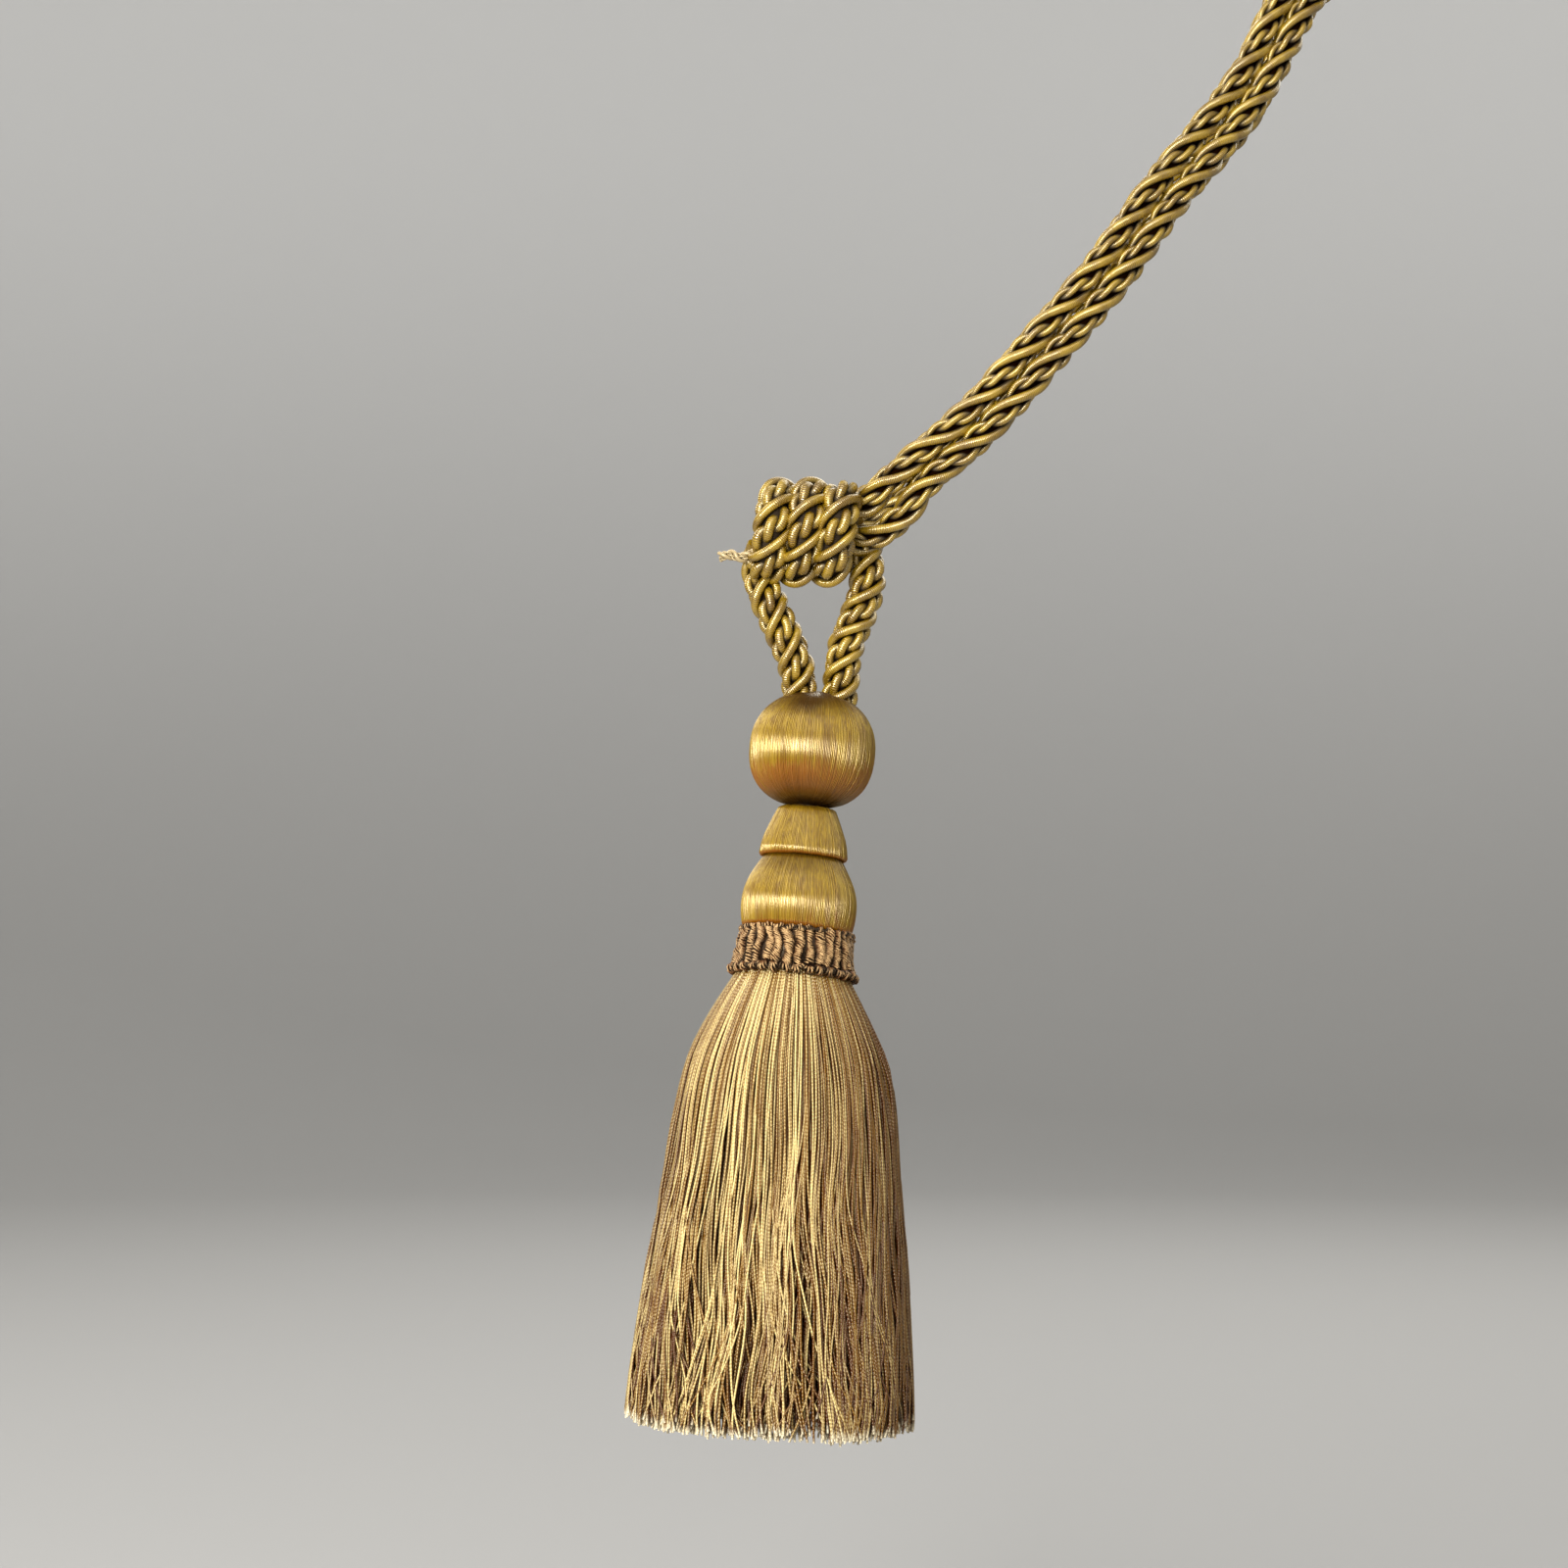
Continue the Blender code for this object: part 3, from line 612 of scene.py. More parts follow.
def strand_mesh(add, line, radius, sides):
    """A round strand along the line, with its length along stored for the wrap of the floss."""
    length = add("GeometryNodeSplineParameter").outputs["Length"]
    marked = add(STORE, {"Geometry": line, "Name": "along", "Value": length})
    return add(TUBE, {"Curve": marked, "Profile Curve": add(CIRCLE, (sides, radius)), "Fill Caps": True})


def rope_tree(winding, crevice):
    """Rope: two thick strands and two small two-ply ropes laid round the line, turn for turn."""
    tree, add, given = new_tree(
        "Lay a rope", Float="Strand Radius, Strand Offset, Ply Radius, Ply Offset, Small Rope Offset, "
        "Turn Length, Ply Turn Length, Core Radius, Outer Radius, Phase", Material="Material")
    line, turn = with_line(add, given["Geometry"]), given["Turn Length"]
    strands = []
    for i in range(2):
        start, small_start = (add(MATH, (given["Phase"], math.pi * half), "ADD") for half in (i, i + 0.5))
        strand = add(GROUP, (line, given["Strand Offset"], turn, start), node_tree=winding)
        strands.append(strand_mesh(add, strand, given["Strand Radius"], STRAND_SIDES))
        small = add(GROUP, (line, given["Small Rope Offset"], turn, small_start), node_tree=winding)
        for j in range(2):
            wound = (small, given["Ply Offset"], given["Ply Turn Length"], math.pi * j)
            ply = add(GROUP, wound, node_tree=winding)
            strands.append(strand_mesh(add, ply, given["Ply Radius"], PLY_SIDES))
    # The core along the line: a filler in painted shade, near black, that closes the gaps between the strands
    strands.append(strand_mesh(add, line, given["Core Radius"], PLY_SIDES))
    rope = add(GROUP, (add(JOIN, (strands,)), given["Outer Radius"]), node_tree=crevice)
    end_tree(add, rope, given["Material"])
    return tree


def rope_values(settings, material, diameter, turn_length, phase=0.0):
    """Sizes of the rope's strands, in metres, for a rope of this diameter and lay."""
    share = SLACK_PLY_TURN_SHARE if diameter > settings.diameter else PLY_TURN_SHARE
    puff = (diameter / settings.diameter) ** PUFF_POWER
    strand, ply = settings.strand_diameter / 2, settings.ply_diameter / 2 * puff
    return {
        "Strand Radius": strand, "Strand Offset": diameter / 2 - strand, "Ply Radius": ply,
        "Ply Offset": PLY_PRESS * ply, "Small Rope Offset": diameter / 2 - (1 + PLY_PRESS) * ply,
        "Turn Length": turn_length, "Ply Turn Length": -turn_length * share,
        "Core Radius": diameter / 2 - CORE_SHARE * strand, "Outer Radius": diameter / 2, "Phase": phase,
        "Material": material,
    }


def laid_cord(name, path, diameter, values, *nodes):
    """A free rope along the path, in millimetres, that stands for these nodes."""
    piece = placed(grown(name, path_curve(name, path), TOOLS["rope_tree"], values), "rope", *nodes)


class TasselRopeSettings(bpy.types.PropertyGroup):
    diameter: length_property("Diameter", "Thickness of the rope where it is pulled straight", 0.0096)
    slack_diameter: length_property("Slack diameter", "Thickness in the hanging loop", 0.0122)
    knot_diameter: length_property("Knot diameter", "Thickness in the knot's turns", 0.0134)
    strand_diameter: length_property("Thick strand", "Thickness of the two single strands", 0.0030)
    ply_diameter: length_property("Thin strand", "Thickness of each thin strand of the small ropes", 0.0021)
    turn_length: length_property("Lay length", "Length of one full turn of the straight rope", 0.038)
    knot_turn_length: length_property("Knot lay length", "The same in the knot, 3 to a turn of it", 0.0225)
    slack_turn_length: length_property("Slack lay length", "The same in the hanging loop", 0.022)
    # Both are mixed by the floss's mottled tone and by painted light and shade across the wraps
    light: colour_property("Light gold", "Colour on the floss's ridges", "#AC8A18")
    shade: colour_property("Deep gold", "Colour between the floss's ridges", "#604000")


class TIEBACK_OT_embrace(bpy.types.Operator):
    """Lay the doubled rope, front and back, from the knot round the hook"""
    bl_idname = "tieback.embrace"
    bl_label = "Doubled rope"

    def execute(self, context):
        settings, tools = context.scene.tieback_rope, shared_tools(context)
        values = rope_values(settings, tools["rope"], settings.diameter, settings.turn_length)
        for half, *route in (("front", FRONT_ROUTE, FRONT_HOOK_SEAT, FRONT_UPPER_ENTRY, FRONT_LOWER_ENTRY),
                             ("back", BACK_ROUTE, BACK_HOOK_SEAT, (), ())):
            laid_cord("rope_" + half, doubled_rope_path(*route), settings.diameter, values,
                      f"rope_{half}_upper", f"hook_loop_{half}", f"rope_{half}_lower")
        return {"FINISHED"}


class TIEBACK_OT_hanging_loop(bpy.types.Operator):
    """Lay the slack loop that carries the tassel"""
    bl_idname = "tieback.hanging_loop"
    bl_label = "Hanging loop"

    def execute(self, context):
        settings, tools = context.scene.tieback_rope, shared_tools(context)
        values = rope_values(settings, tools["rope"], settings.slack_diameter, settings.slack_turn_length)
        laid_cord("hanging_loop", smooth_curve(HANGING_LOOP, SLACK_STEP), settings.slack_diameter, values,
                  "leg_left", "leg_right")
        return {"FINISHED"}


class TIEBACK_OT_knot(bpy.types.Operator):
    """Wind the rope round itself three times"""
    bl_idname = "tieback.knot"
    bl_label = "Knot"

    def execute(self, context):
        settings, tools = context.scene.tieback_rope, shared_tools(context)
        values = rope_values(
            settings, tools["rope"], settings.knot_diameter, settings.knot_turn_length, KNOT_PHASE)
        thread = {**TAIL_THREAD, "Material": tools["frayed"]}
        for name, path, sizes, nodes in (("knot_turns", knot_path(), values, ["knot"]),
                                         ("knot_tail", smooth_curve(TAIL, TAIL_STEP), thread, [])):
            placed(grown(name, path_curve(name, path), tools["rope_tree"], sizes), "rope", *nodes)
        return {"FINISHED"}


# ---- the beads under floss

def turned_mesh(name, profile, steps):
    """A surface turned about Z from (radius, height) rows in millimetres."""
    line = bpy.data.meshes.new(name)
    line.from_pydata([(radius * MM, 0.0, height * MM) for radius, height in profile],
                     [(i, i + 1) for i in range(len(profile) - 1)], [])
    carrier = linked(bpy.data.objects.new(name + "_profile", line))
    screw = carrier.modifiers.new("Turn", "SCREW")
    screw.steps = screw.render_steps = steps
    screw.use_merge_vertices = True
    screw.merge_threshold = 0.01 * MM
    return evaluated_mesh(carrier)


def floss_tree():
    """Floss: a thread along each upright line of a turned bead, thinner where the lines crowd together."""
    tree, add, given = new_tree(
        "Lay floss", Float="Thread Width, Thread Height, Widest, Unevenness, Evenness", Material="Material")
    # An edge whose ends have the same height and radius lies in a ring; the others run down the bead
    ends = add("GeometryNodeInputMeshEdgeVertices").outputs
    places = [ends["Position 1"], ends["Position 2"]]
    radii = [add(VECTOR, (add(VECTOR, (end, LEVEL), "MULTIPLY"),), "LENGTH") for end in places]
    heights = [add(SEPARATE, (end,)).outputs["Z"] for end in places]
    level, same = (add("FunctionNodeCompare", {"A": pair[0], "B": pair[1], "Epsilon": 0.01 * MM},
                       data_type="FLOAT", operation="EQUAL") for pair in (heights, radii))
    upright = add("FunctionNodeBooleanMath", (level, same), "NAND")
    lines = add("GeometryNodeMeshToCurve", {"Mesh": given["Geometry"], "Selection": upright})
    place = add(POSITION)
    key = add(MATH, (add("GeometryNodeCurveOfPoint"), 3.71), "MULTIPLY")
    drift = wandering(add, {"Vector": place, "W": key, "Scale": 60.0, "Detail": 1.0}, given["Unevenness"],
                      noise_dimensions="4D")
    uneven = add(MOVE, {"Geometry": lines, "Offset": drift})
    # A thread lies flat on the bead, and is as wide as its share of the way round
    plan = add(VECTOR, (place, LEVEL), "MULTIPLY")
    across = add(VECTOR, (plan, (0.0, 0.0, 1.0)), "CROSS_PRODUCT")
    outward = add(VECTOR, (across, add(TANGENT)), "CROSS_PRODUCT")
    turned = add("GeometryNodeSetCurveNormal", {"Curve": uneven, "Normal": outward}, mode="FREE")
    share = add(MATH, (add(VECTOR, (plan,), "LENGTH"), given["Widest"]), "DIVIDE")
    width = add(MATH, (share, THREAD_LEAST_SHARE), "MAXIMUM")
    sized = add("GeometryNodeSetCurveRadius", {"Curve": turned, "Radius": width})
    oval = add(TRANSFORM, {"Geometry": add(CIRCLE, (6, 1.0)),
                           "Scale": add(COMBINE, (given["Thread Width"], given["Thread Height"], 1.0))})
    threads = add(TUBE, {"Curve": sized, "Profile Curve": oval, "Scale": width, "Fill Caps": True})
    # Painted shade: the narrower the bead, the lower the reach and the darker the floss is drawn
    reach = add(MATH, (share, given["Evenness"]), "ADD")
    joined = add(JOIN, ([given["Geometry"], threads],))
    end_tree(add, add(STORE, {"Geometry": joined, "Name": "reach", "Value": reach}), given["Material"])
    return tree


def ball_profile():
    """A full, slightly squared ball, fuller below its middle."""
    rows = [(radius, BALL_HALF_HEIGHT - depth) for radius, depth in BALL_HOLE]
    for i in range(1, BALL_ROWS):
        angle = math.pi * (0.5 - i / BALL_ROWS)
        fullness = BALL_UPPER_FULLNESS if angle > 0 else BALL_LOWER_FULLNESS
        height = math.copysign(abs(math.sin(angle)) ** (2 / fullness), angle)
        rows.append((BALL_RADIUS * math.cos(angle) ** (2 / fullness), BALL_HALF_HEIGHT * height))
    return rows + [(radius, depth - BALL_HALF_HEIGHT) for radius, depth in reversed(BALL_HOLE)]


def bulb_profile():
    """A half ball, fullest near its foot."""
    rows = [(BULB_HOLE, BULB_TOP), (BULB_TOP_RADIUS - BULB_SHOULDER, BULB_TOP)]
    for i in range(BULB_UPPER_ROWS + 1):
        share = i / BULB_UPPER_ROWS
        swell = math.sin(share * math.pi / 2)
        rows.append((BULB_TOP_RADIUS + (BULB_RADIUS - BULB_TOP_RADIUS) * swell,
                     BULB_TOP + (BULB_WIDEST - BULB_TOP) * share))
    for i in range(1, BULB_LOWER_ROWS + 1):
        share = i / BULB_LOWER_ROWS
        rows.append((BULB_RADIUS + (BULB_BOTTOM_RADIUS - BULB_RADIUS) * share ** 2,
                     BULB_WIDEST + (BULB_BOTTOM - BULB_WIDEST) * share))
    return rows + [(BULB_HOLE, BULB_BOTTOM)]


class TasselHeadSettings(bpy.types.PropertyGroup):
    thread_spacing: length_property("Thread spacing", "Width of one thread of floss at its widest", 0.00052)
    unevenness: length_property("Unevenness", "How far a thread wanders from its line", 0.0007)
    floss_light: colour_property("Light gold", "Lighter floss", "#9E7E14")
    floss_shade: colour_property("Amber", "Deeper floss", "#725002")
    # Painted shade: where a bead narrows to its holes, on its shoulders and under the loop's legs
    floss_deep: colour_property("Brown", "Floss where it crowds into a bead's hole", "#4A2E08")
    # Painted shade on the undersides of the beads
    floss_under: colour_property("Deep amber", "Floss on the underside of a bead", "#8C5000")


class TIEBACK_OT_beads(bpy.types.Operator):
    """Cover the ball, the bell and the bulb with laid floss"""
    bl_idname = "tieback.beads"
    bl_label = "Beads"

    def execute(self, context):
        settings, tools = context.scene.tieback_head, shared_tools(context)
        spacing = settings.thread_spacing
        tree = floss_tree()
        # Columns: name, profile, how much less than the others it darkens with painted shade where it narrows
        for name, profile, evenness in (
                ("ball", ball_profile(), 0.0), ("bell", BELL_PROFILE, 0.3), ("bulb", bulb_profile(), 0.0)):
            widest = max(radius for radius, _ in profile) * MM
            bed = [(radius - FLOSS_BED * (radius > FLOSS_BED_FROM), height) for radius, height in profile]
            values = {
                "Thread Width": THREAD_WIDTH_SHARE * spacing, "Thread Height": THREAD_HEIGHT_SHARE * spacing,
                "Widest": widest, "Unevenness": settings.unevenness, "Evenness": evenness,
                "Material": tools["floss"],
            }
            body = turned_mesh(name, bed, round(FULL_TURN * widest / spacing))
            placed(grown(name + "_floss", body, tree, values, head_matrix()), "floss", name)
        return {"FINISHED"}


# ---- the ruff

def ruff_tree(winding, crevice):
    """Gimp collar: upright coils side by side round a band, whose yarn turns over in loops at both edges."""
    tree, add, given = new_tree(
        "Coil a ruff", Float="Turns, Height, Half Width, Half Depth, Yarn Radius, Radius, Top, Slope, Slant, "
        "Top Edge Radius, Bottom Edge Radius, Bottom", Int="Coils, Seed", Material="Material")
    place = add(POSITION)
    x, y, _ = add(SEPARATE, (place,)).outputs
    angle = add(MATH, (y, x), "ARCTAN2")
    helix = add("GeometryNodeCurveSpiral", {
        "Resolution": COIL_POINTS, "Rotations": given["Turns"], "Start Radius": 1.0, "End Radius": 1.0,
        "Height": given["Height"]})
    # How far out a turn of the coil lies, from 0 at its back to 1 at its crest; the back is drawn in painted
    # shade
    crest = add(MATH, (x, 0.5, 0.5), "MULTIPLY_ADD")
    marked = add(STORE, {"Geometry": helix, "Name": "reach", "Value": crest})
    shaped = add(TRANSFORM, {
        "Geometry": marked, "Scale": add(COMBINE, (given["Half Depth"], given["Half Width"], 1.0)),
        "Translation": add(COMBINE, {"Z": add(MATH, (given["Height"], -1.0), "MULTIPLY")})})
    drop = add(MATH, (y, given["Slant"]), "MULTIPLY")
    slanted = add(MOVE, {"Geometry": shaped, "Offset": add(COMBINE, {"Z": drop})})
    ring = add("GeometryNodeMeshCircle", {"Vertices": given["Coils"], "Radius": given["Radius"]})
    coil = add("GeometryNodeInputIndex")
    lean = add(RANDOM, (-COIL_LEAN, COIL_LEAN, coil, given["Seed"]), data_type="FLOAT")
    turned = add(COMBINE, (lean, given["Slope"], angle))
    coils = add(INSTANCES, {"Points": ring, "Instance": slanted, "Rotation": turned})
    lifted = add(TRANSFORM, {"Geometry": coils, "Translation": add(COMBINE, {"Z": given["Top"]})})
    uneven = add(REALIZE, (lifted,))
    for fineness, amount in COIL_UNEVENNESS:
        drift = wandering(add, {"Vector": place, "Scale": fineness, "Detail": 0.0}, amount)
        uneven = add(MOVE, {"Geometry": uneven, "Offset": drift})
    parts = [given["Geometry"], strand_mesh(add, uneven, given["Yarn Radius"], GIMP_SIDES)]
    # The coils turn over at each edge, in a row of small coiled loops
    wave = add(MATH, (angle, add(MATH, (given["Coils"], 0.5), "MULTIPLY")), "MULTIPLY")
    bulge = add(MATH, (add(MATH, (wave,), "COSINE"),), "ABSOLUTE")
    for radius, height, offset, dip in RUFF_EDGES:
        rise = add(MATH, (bulge, dip), "MULTIPLY")
        circle = add(CIRCLE, (EDGE_POINTS * EDGE_TURNS, given[radius]))
        scalloped = add(MOVE, {"Geometry": circle, "Offset": add(COMBINE, {"Z": rise})})
        raised = add(TRANSFORM, {"Geometry": scalloped, "Translation": add(COMBINE, {"Z": given[height]})})
        turn_length = add(MATH, (given[radius], FULL_TURN / EDGE_TURNS), "MULTIPLY")
        coiled = add(GROUP, (with_line(add, raised), offset, turn_length, 0.0), node_tree=winding)
        # Pinched where one loop meets the next
        line = add(READ, {"Name": "line"}, data_type="FLOAT_VECTOR")
        pinch = add(MATH, (bulge, -EDGE_PINCH, EDGE_PINCH), "MULTIPLY_ADD")
        drawn = add(VECTOR, (add(VECTOR, (line, place), "SUBTRACT"), pinch), "SCALE")
        loops = add(MOVE, {"Geometry": coiled, "Offset": drawn})
        drift = wandering(add, {"Vector": place, "Scale": 420.0, "Detail": 1.0}, EDGE_UNEVENNESS)
        rough = add(MOVE, {"Geometry": loops, "Offset": drift})
        edge = strand_mesh(add, rough, given["Yarn Radius"], GIMP_SIDES)
        parts.append(add(GROUP, (edge, offset + EDGE_REACH), node_tree=crevice))
    end_tree(add, add(JOIN, (parts,)), given["Material"])
    return tree


class TasselRuffSettings(bpy.types.PropertyGroup):
    coils: IntProperty(name="Coils", description="Upright coils round the ruff", default=33, min=8)
    turns: FloatProperty(name="Turns", description="Turns of yarn in one coil", default=17.5)
    yarn_diameter: length_property("Yarn thickness", "Thickness of the coiled gimp", 0.00068)
    # Mixed by the fibres' mottled tone and by painted light and shade on the coils' crests and flanks
    ruff_light: colour_property("Light tan", "Lighter fibres", "#D6B07A")
    ruff_shade: colour_property("Tan", "Deeper fibres", "#5A3212")


class TIEBACK_OT_ruff(bpy.types.Operator):
    """Sew the collar of coiled gimp round the top of the skirt"""
    bl_idname = "tieback.ruff"
    bl_label = "Ruff"

    def execute(self, context):
        settings, tools = context.scene.tieback_ruff, shared_tools(context)
        middle = 0.5 * (RUFF_TOP_RADIUS + RUFF_BOTTOM_RADIUS)
        spacing = FULL_TURN * middle / settings.coils * MM
        values = {
            "Coils": settings.coils, "Turns": settings.turns,
            "Height": (RUFF_TOP - RUFF_BOTTOM - COIL_SHORTER) * MM,
            "Half Width": 0.5 * (COIL_WIDTH_SHARE * spacing - settings.yarn_diameter),
            "Half Depth": COIL_HALF_DEPTH * MM, "Yarn Radius": settings.yarn_diameter / 2,
            "Radius": (RUFF_TOP_RADIUS - COIL_INSET) * MM, "Top": (RUFF_TOP - COIL_DROP) * MM,
            "Bottom": (RUFF_BOTTOM + EDGE_INSET) * MM, "Slant": COIL_SLANT,
            "Slope": -math.atan((RUFF_BOTTOM_RADIUS - RUFF_TOP_RADIUS) / (RUFF_TOP - RUFF_BOTTOM)),
            "Top Edge Radius": (RUFF_TOP_RADIUS - EDGE_INSET) * MM,
            "Bottom Edge Radius": (RUFF_BOTTOM_RADIUS - EDGE_INSET) * MM,
            "Seed": COIL_SEED, "Material": tools["gimp"],
        }
        tree = ruff_tree(tools["winding"], tools["crevice"])
        band = turned_mesh("ruff_band", RUFF_BAND, BAND_SIDES)
        placed(grown("ruff_coils", band, tree, values, head_matrix()), "gimp", "ruff")
        return {"FINISHED"}


# ---- the skirt

def skirt_tree():
    """Yarns that hang from a ring: each follows the outline, wanders more towards its end, and is cut."""
    tree, add, given = new_tree(
        "Hang yarns", Float="Yarn Radius, Top, Length, Inner Share, Outer Share, Shortest, Depth Ratio, "
        "Swing, Back Swing, Slope Across, Slope Back, Wander, Crossing", Int="Yarns, Points, Sides, Seed",
        Material="Material")
    row = add("GeometryNodeMeshLine", {"Count": given["Yarns"]})
    parts = add("GeometryNodeResampleCurve", {
        "Curve": add("GeometryNodeCurvePrimitiveLine"), "Count": given["Points"]})
    hanging = add(REALIZE, (add(INSTANCES, {"Points": row, "Instance": parts}),))
    yarn, down = add("GeometryNodeCurveOfPoint"), add("GeometryNodeSplineParameter")

    def chance(low, high, offset):
        """A random value for each yarn."""
        seed = add(MATH, (given["Seed"], offset), "ADD")
        return add(RANDOM, (low, high, yarn, seed), data_type="FLOAT")

    # Each yarn has its own place in the ring, and crosses its neighbours towards its end
    place = add(MATH, (add(MATH, (yarn, chance(0.0, 1.0, 1)), "ADD"), given["Yarns"]), "DIVIDE")
    start = add(MATH, (place, FULL_TURN), "MULTIPLY")
    crossing = add(MATH, (chance(*CROSSING_LIMITS, 2), given["Crossing"]), "MULTIPLY")
    angle = add(MATH, (crossing, add(MATH, (down, CROSSING_POWER), "POWER"), start), "MULTIPLY_ADD")
    cosine, sine = (add(MATH, (angle,), name) for name in ("COSINE", "SINE"))
    outline = add("ShaderNodeFloatCurve", {"Value": down})
    spots = outline.mapping.curves[0].points
    while len(spots) < len(SKIRT_OUTLINE):
        spots.new(0.0, 0.0)
    for spot, (share, radius) in zip(spots, SKIRT_OUTLINE):
        spot.location = (share, radius / OUTLINE_SCALE)
    outline.mapping.update()
    spread = add(MATH, (outline, OUTLINE_SCALE * MM), "MULTIPLY")
    layer = chance(given["Inner Share"], given["Outer Share"], 3)
    radius = add(MATH, (spread, layer), "MULTIPLY")
    length = add(MATH, (given["Length"], chance(given["Shortest"], 1.0, 4)), "MULTIPLY")
    fallen = add(MATH, (down, length), "MULTIPLY")
    height = add(MATH, (given["Top"], fallen), "SUBTRACT")
    # Round under the ruff, and flatter from a little below it
    flatter = add(RANGE, (down, 0.0, FLAT_FROM, 1.0, given["Depth Ratio"]))
    aside = add(MATH, (cosine, radius), "MULTIPLY")
    back = add(MATH, (sine, add(MATH, (radius, flatter), "MULTIPLY")), "MULTIPLY")
    swung = add(MATH, (fallen, given["Swing"], aside), "MULTIPLY_ADD")
    swung_back = add(MATH, (fallen, given["Back Swing"], back), "MULTIPLY_ADD")
    # The hem is cut level: a yarn's end is raised or lowered by where it hangs
    rise_across = add(MATH, (aside, given["Slope Across"]), "MULTIPLY")
    rise = add(MATH, (back, given["Slope Back"], rise_across), "MULTIPLY_ADD")
    late = add(MATH, (down, LEVEL_POWER), "POWER")
    levelled = add(MATH, (rise, late, height), "MULTIPLY_ADD")
    laid = add(MOVE, {"Geometry": hanging, "Position": add(COMBINE, (swung, swung_back, levelled))})

    # Locks: neighbouring yarns drift together, so the skirt parts into soft bunches
    now, growing = add(POSITION), add(MATH, (down, WANDER_POWER), "POWER")
    tall = add(VECTOR, (now, (1.0, 1.0, 0.3)), "MULTIPLY")
    bunched = wandering(add, {"Vector": tall, "Scale": 85.0, "Detail": 0.0}, growing)
    # Wander: each yarn's own waves, wild in a few yarns and looser on the right
    wild = add(MATH, (chance(0.0, 1.0, 5), WILD_POWER), "POWER")
    size = add(MATH, (wild, WILD_EXTRA, 1.0), "MULTIPLY_ADD")
    looser = add(MATH, (size, add(RANGE, (cosine, -1.0, 1.0, *LOOSE_LEFT_AND_RIGHT))), "MULTIPLY")
    amount = add(MATH, (looser, growing), "MULTIPLY")
    # Yarns lie this far apart in the noise, so that each has waves of its own
    wave_at = add(COMBINE, (add(MATH, (yarn, 7.31), "MULTIPLY"), down))
    waves = wandering(add, {"Vector": wave_at, "Scale": 1.9, "Detail": 0.0}, amount)
    both = add(VECTOR, (waves, bunched), "ADD")
    moved = add(VECTOR, (both, given["Wander"]), "SCALE")
    level = add(VECTOR, (moved, (1.0, 1.0, 0.1)), "MULTIPLY")
    drifted = add(MOVE, {"Geometry": laid, "Offset": level})
    # No yarn leaves the outline: one that strays outside is laid back on it
    axis = add(COMBINE, [add(MATH, (fallen, given[way]), "MULTIPLY") for way in ("Swing", "Back Swing")])
    shape = add(COMBINE, (1.0, flatter, 0.0))
    round_place = add(VECTOR, (add(VECTOR, (now, axis), "SUBTRACT"), shape), "DIVIDE")
    ratio = add(MATH, (spread, add(VECTOR, (round_place,), "LENGTH")), "DIVIDE")
    held = add(VECTOR, (round_place, add(MATH, (ratio, 1.0), "MINIMUM")), "SCALE")
    flat_place = add(VECTOR, (held, shape), "MULTIPLY")
    level_place = add(VECTOR, (flat_place, axis), "ADD")
    own_height = add(VECTOR, (now, (0.0, 0.0, 1.0)), "MULTIPLY")
    inside = add(VECTOR, (level_place, own_height), "ADD")
    kept = add(MOVE, {"Geometry": drifted, "Position": inside})
    # Painted shade: yarns on the right, away from the light, are drawn browner, over each yarn's own random
    # tone
    tint = add(MATH, (chance(0.0, 1.0, 6), add(RANGE, (cosine, *BROWNER_ON_RIGHT))), "ADD")
    outward = add(VECTOR, (add(VECTOR, (round_place, LEVEL), "MULTIPLY"),), "NORMALIZE")
    marked = add(STORE, {"Geometry": kept, "Name": "outward", "Value": outward}, data_type="FLOAT_VECTOR")
    # Painted shade: the deeper a yarn's layer, the darker it is drawn
    for label, value in (("tint", tint), ("reach", layer), ("down", down)):
        marked = add(STORE, {"Geometry": marked, "Name": label, "Value": value})
    mesh = add(TUBE, {"Curve": marked, "Profile Curve": add(CIRCLE, (given["Sides"], given["Yarn Radius"])),
                      "Fill Caps": True})
    # Painted shade: a yarn's flanks count as lying deeper than its crest, so they are drawn darker
    facing = add(VECTOR, (add(NORMAL),
                          add(READ, {"Name": "outward"}, data_type="FLOAT_VECTOR")), "DOT_PRODUCT")
    flank = add(RANGE, (facing, 0.0, 0.95, FLANK_DEPTH, 0.0))
    lying = add(MATH, (add(READ, {"Name": "reach"}), flank), "SUBTRACT")
    shaded = add(STORE, {"Geometry": mesh, "Name": "reach", "Value": lying})
    bare = add("GeometryNodeRemoveAttribute", {"Geometry": shaded, "Name": "outward"})
    end_tree(add, add(JOIN, ([given["Geometry"], bare],)), given["Material"])
    return tree


class TasselSkirtSettings(bpy.types.PropertyGroup):
    yarn_diameter: length_property("Yarn thickness", "Thickness of one plied yarn", 0.0008)
    wander: length_property("Wander", "How far a yarn's end strays from its place", 0.013)
    yarn_light: colour_property("Light straw", "Lighter yarns", "#EAD088")
    yarn_shade: colour_property("Old gold", "Deeper yarns", "#785002")
    # Painted shade on the inner layers and on the yarns' flanks
    yarn_deep: colour_property("Inner brown", "Yarns deep inside", "#4A2002")
    yarn_end: colour_property("Cut ends", "Pale fibres at the cut ends", "#E2D6B4")


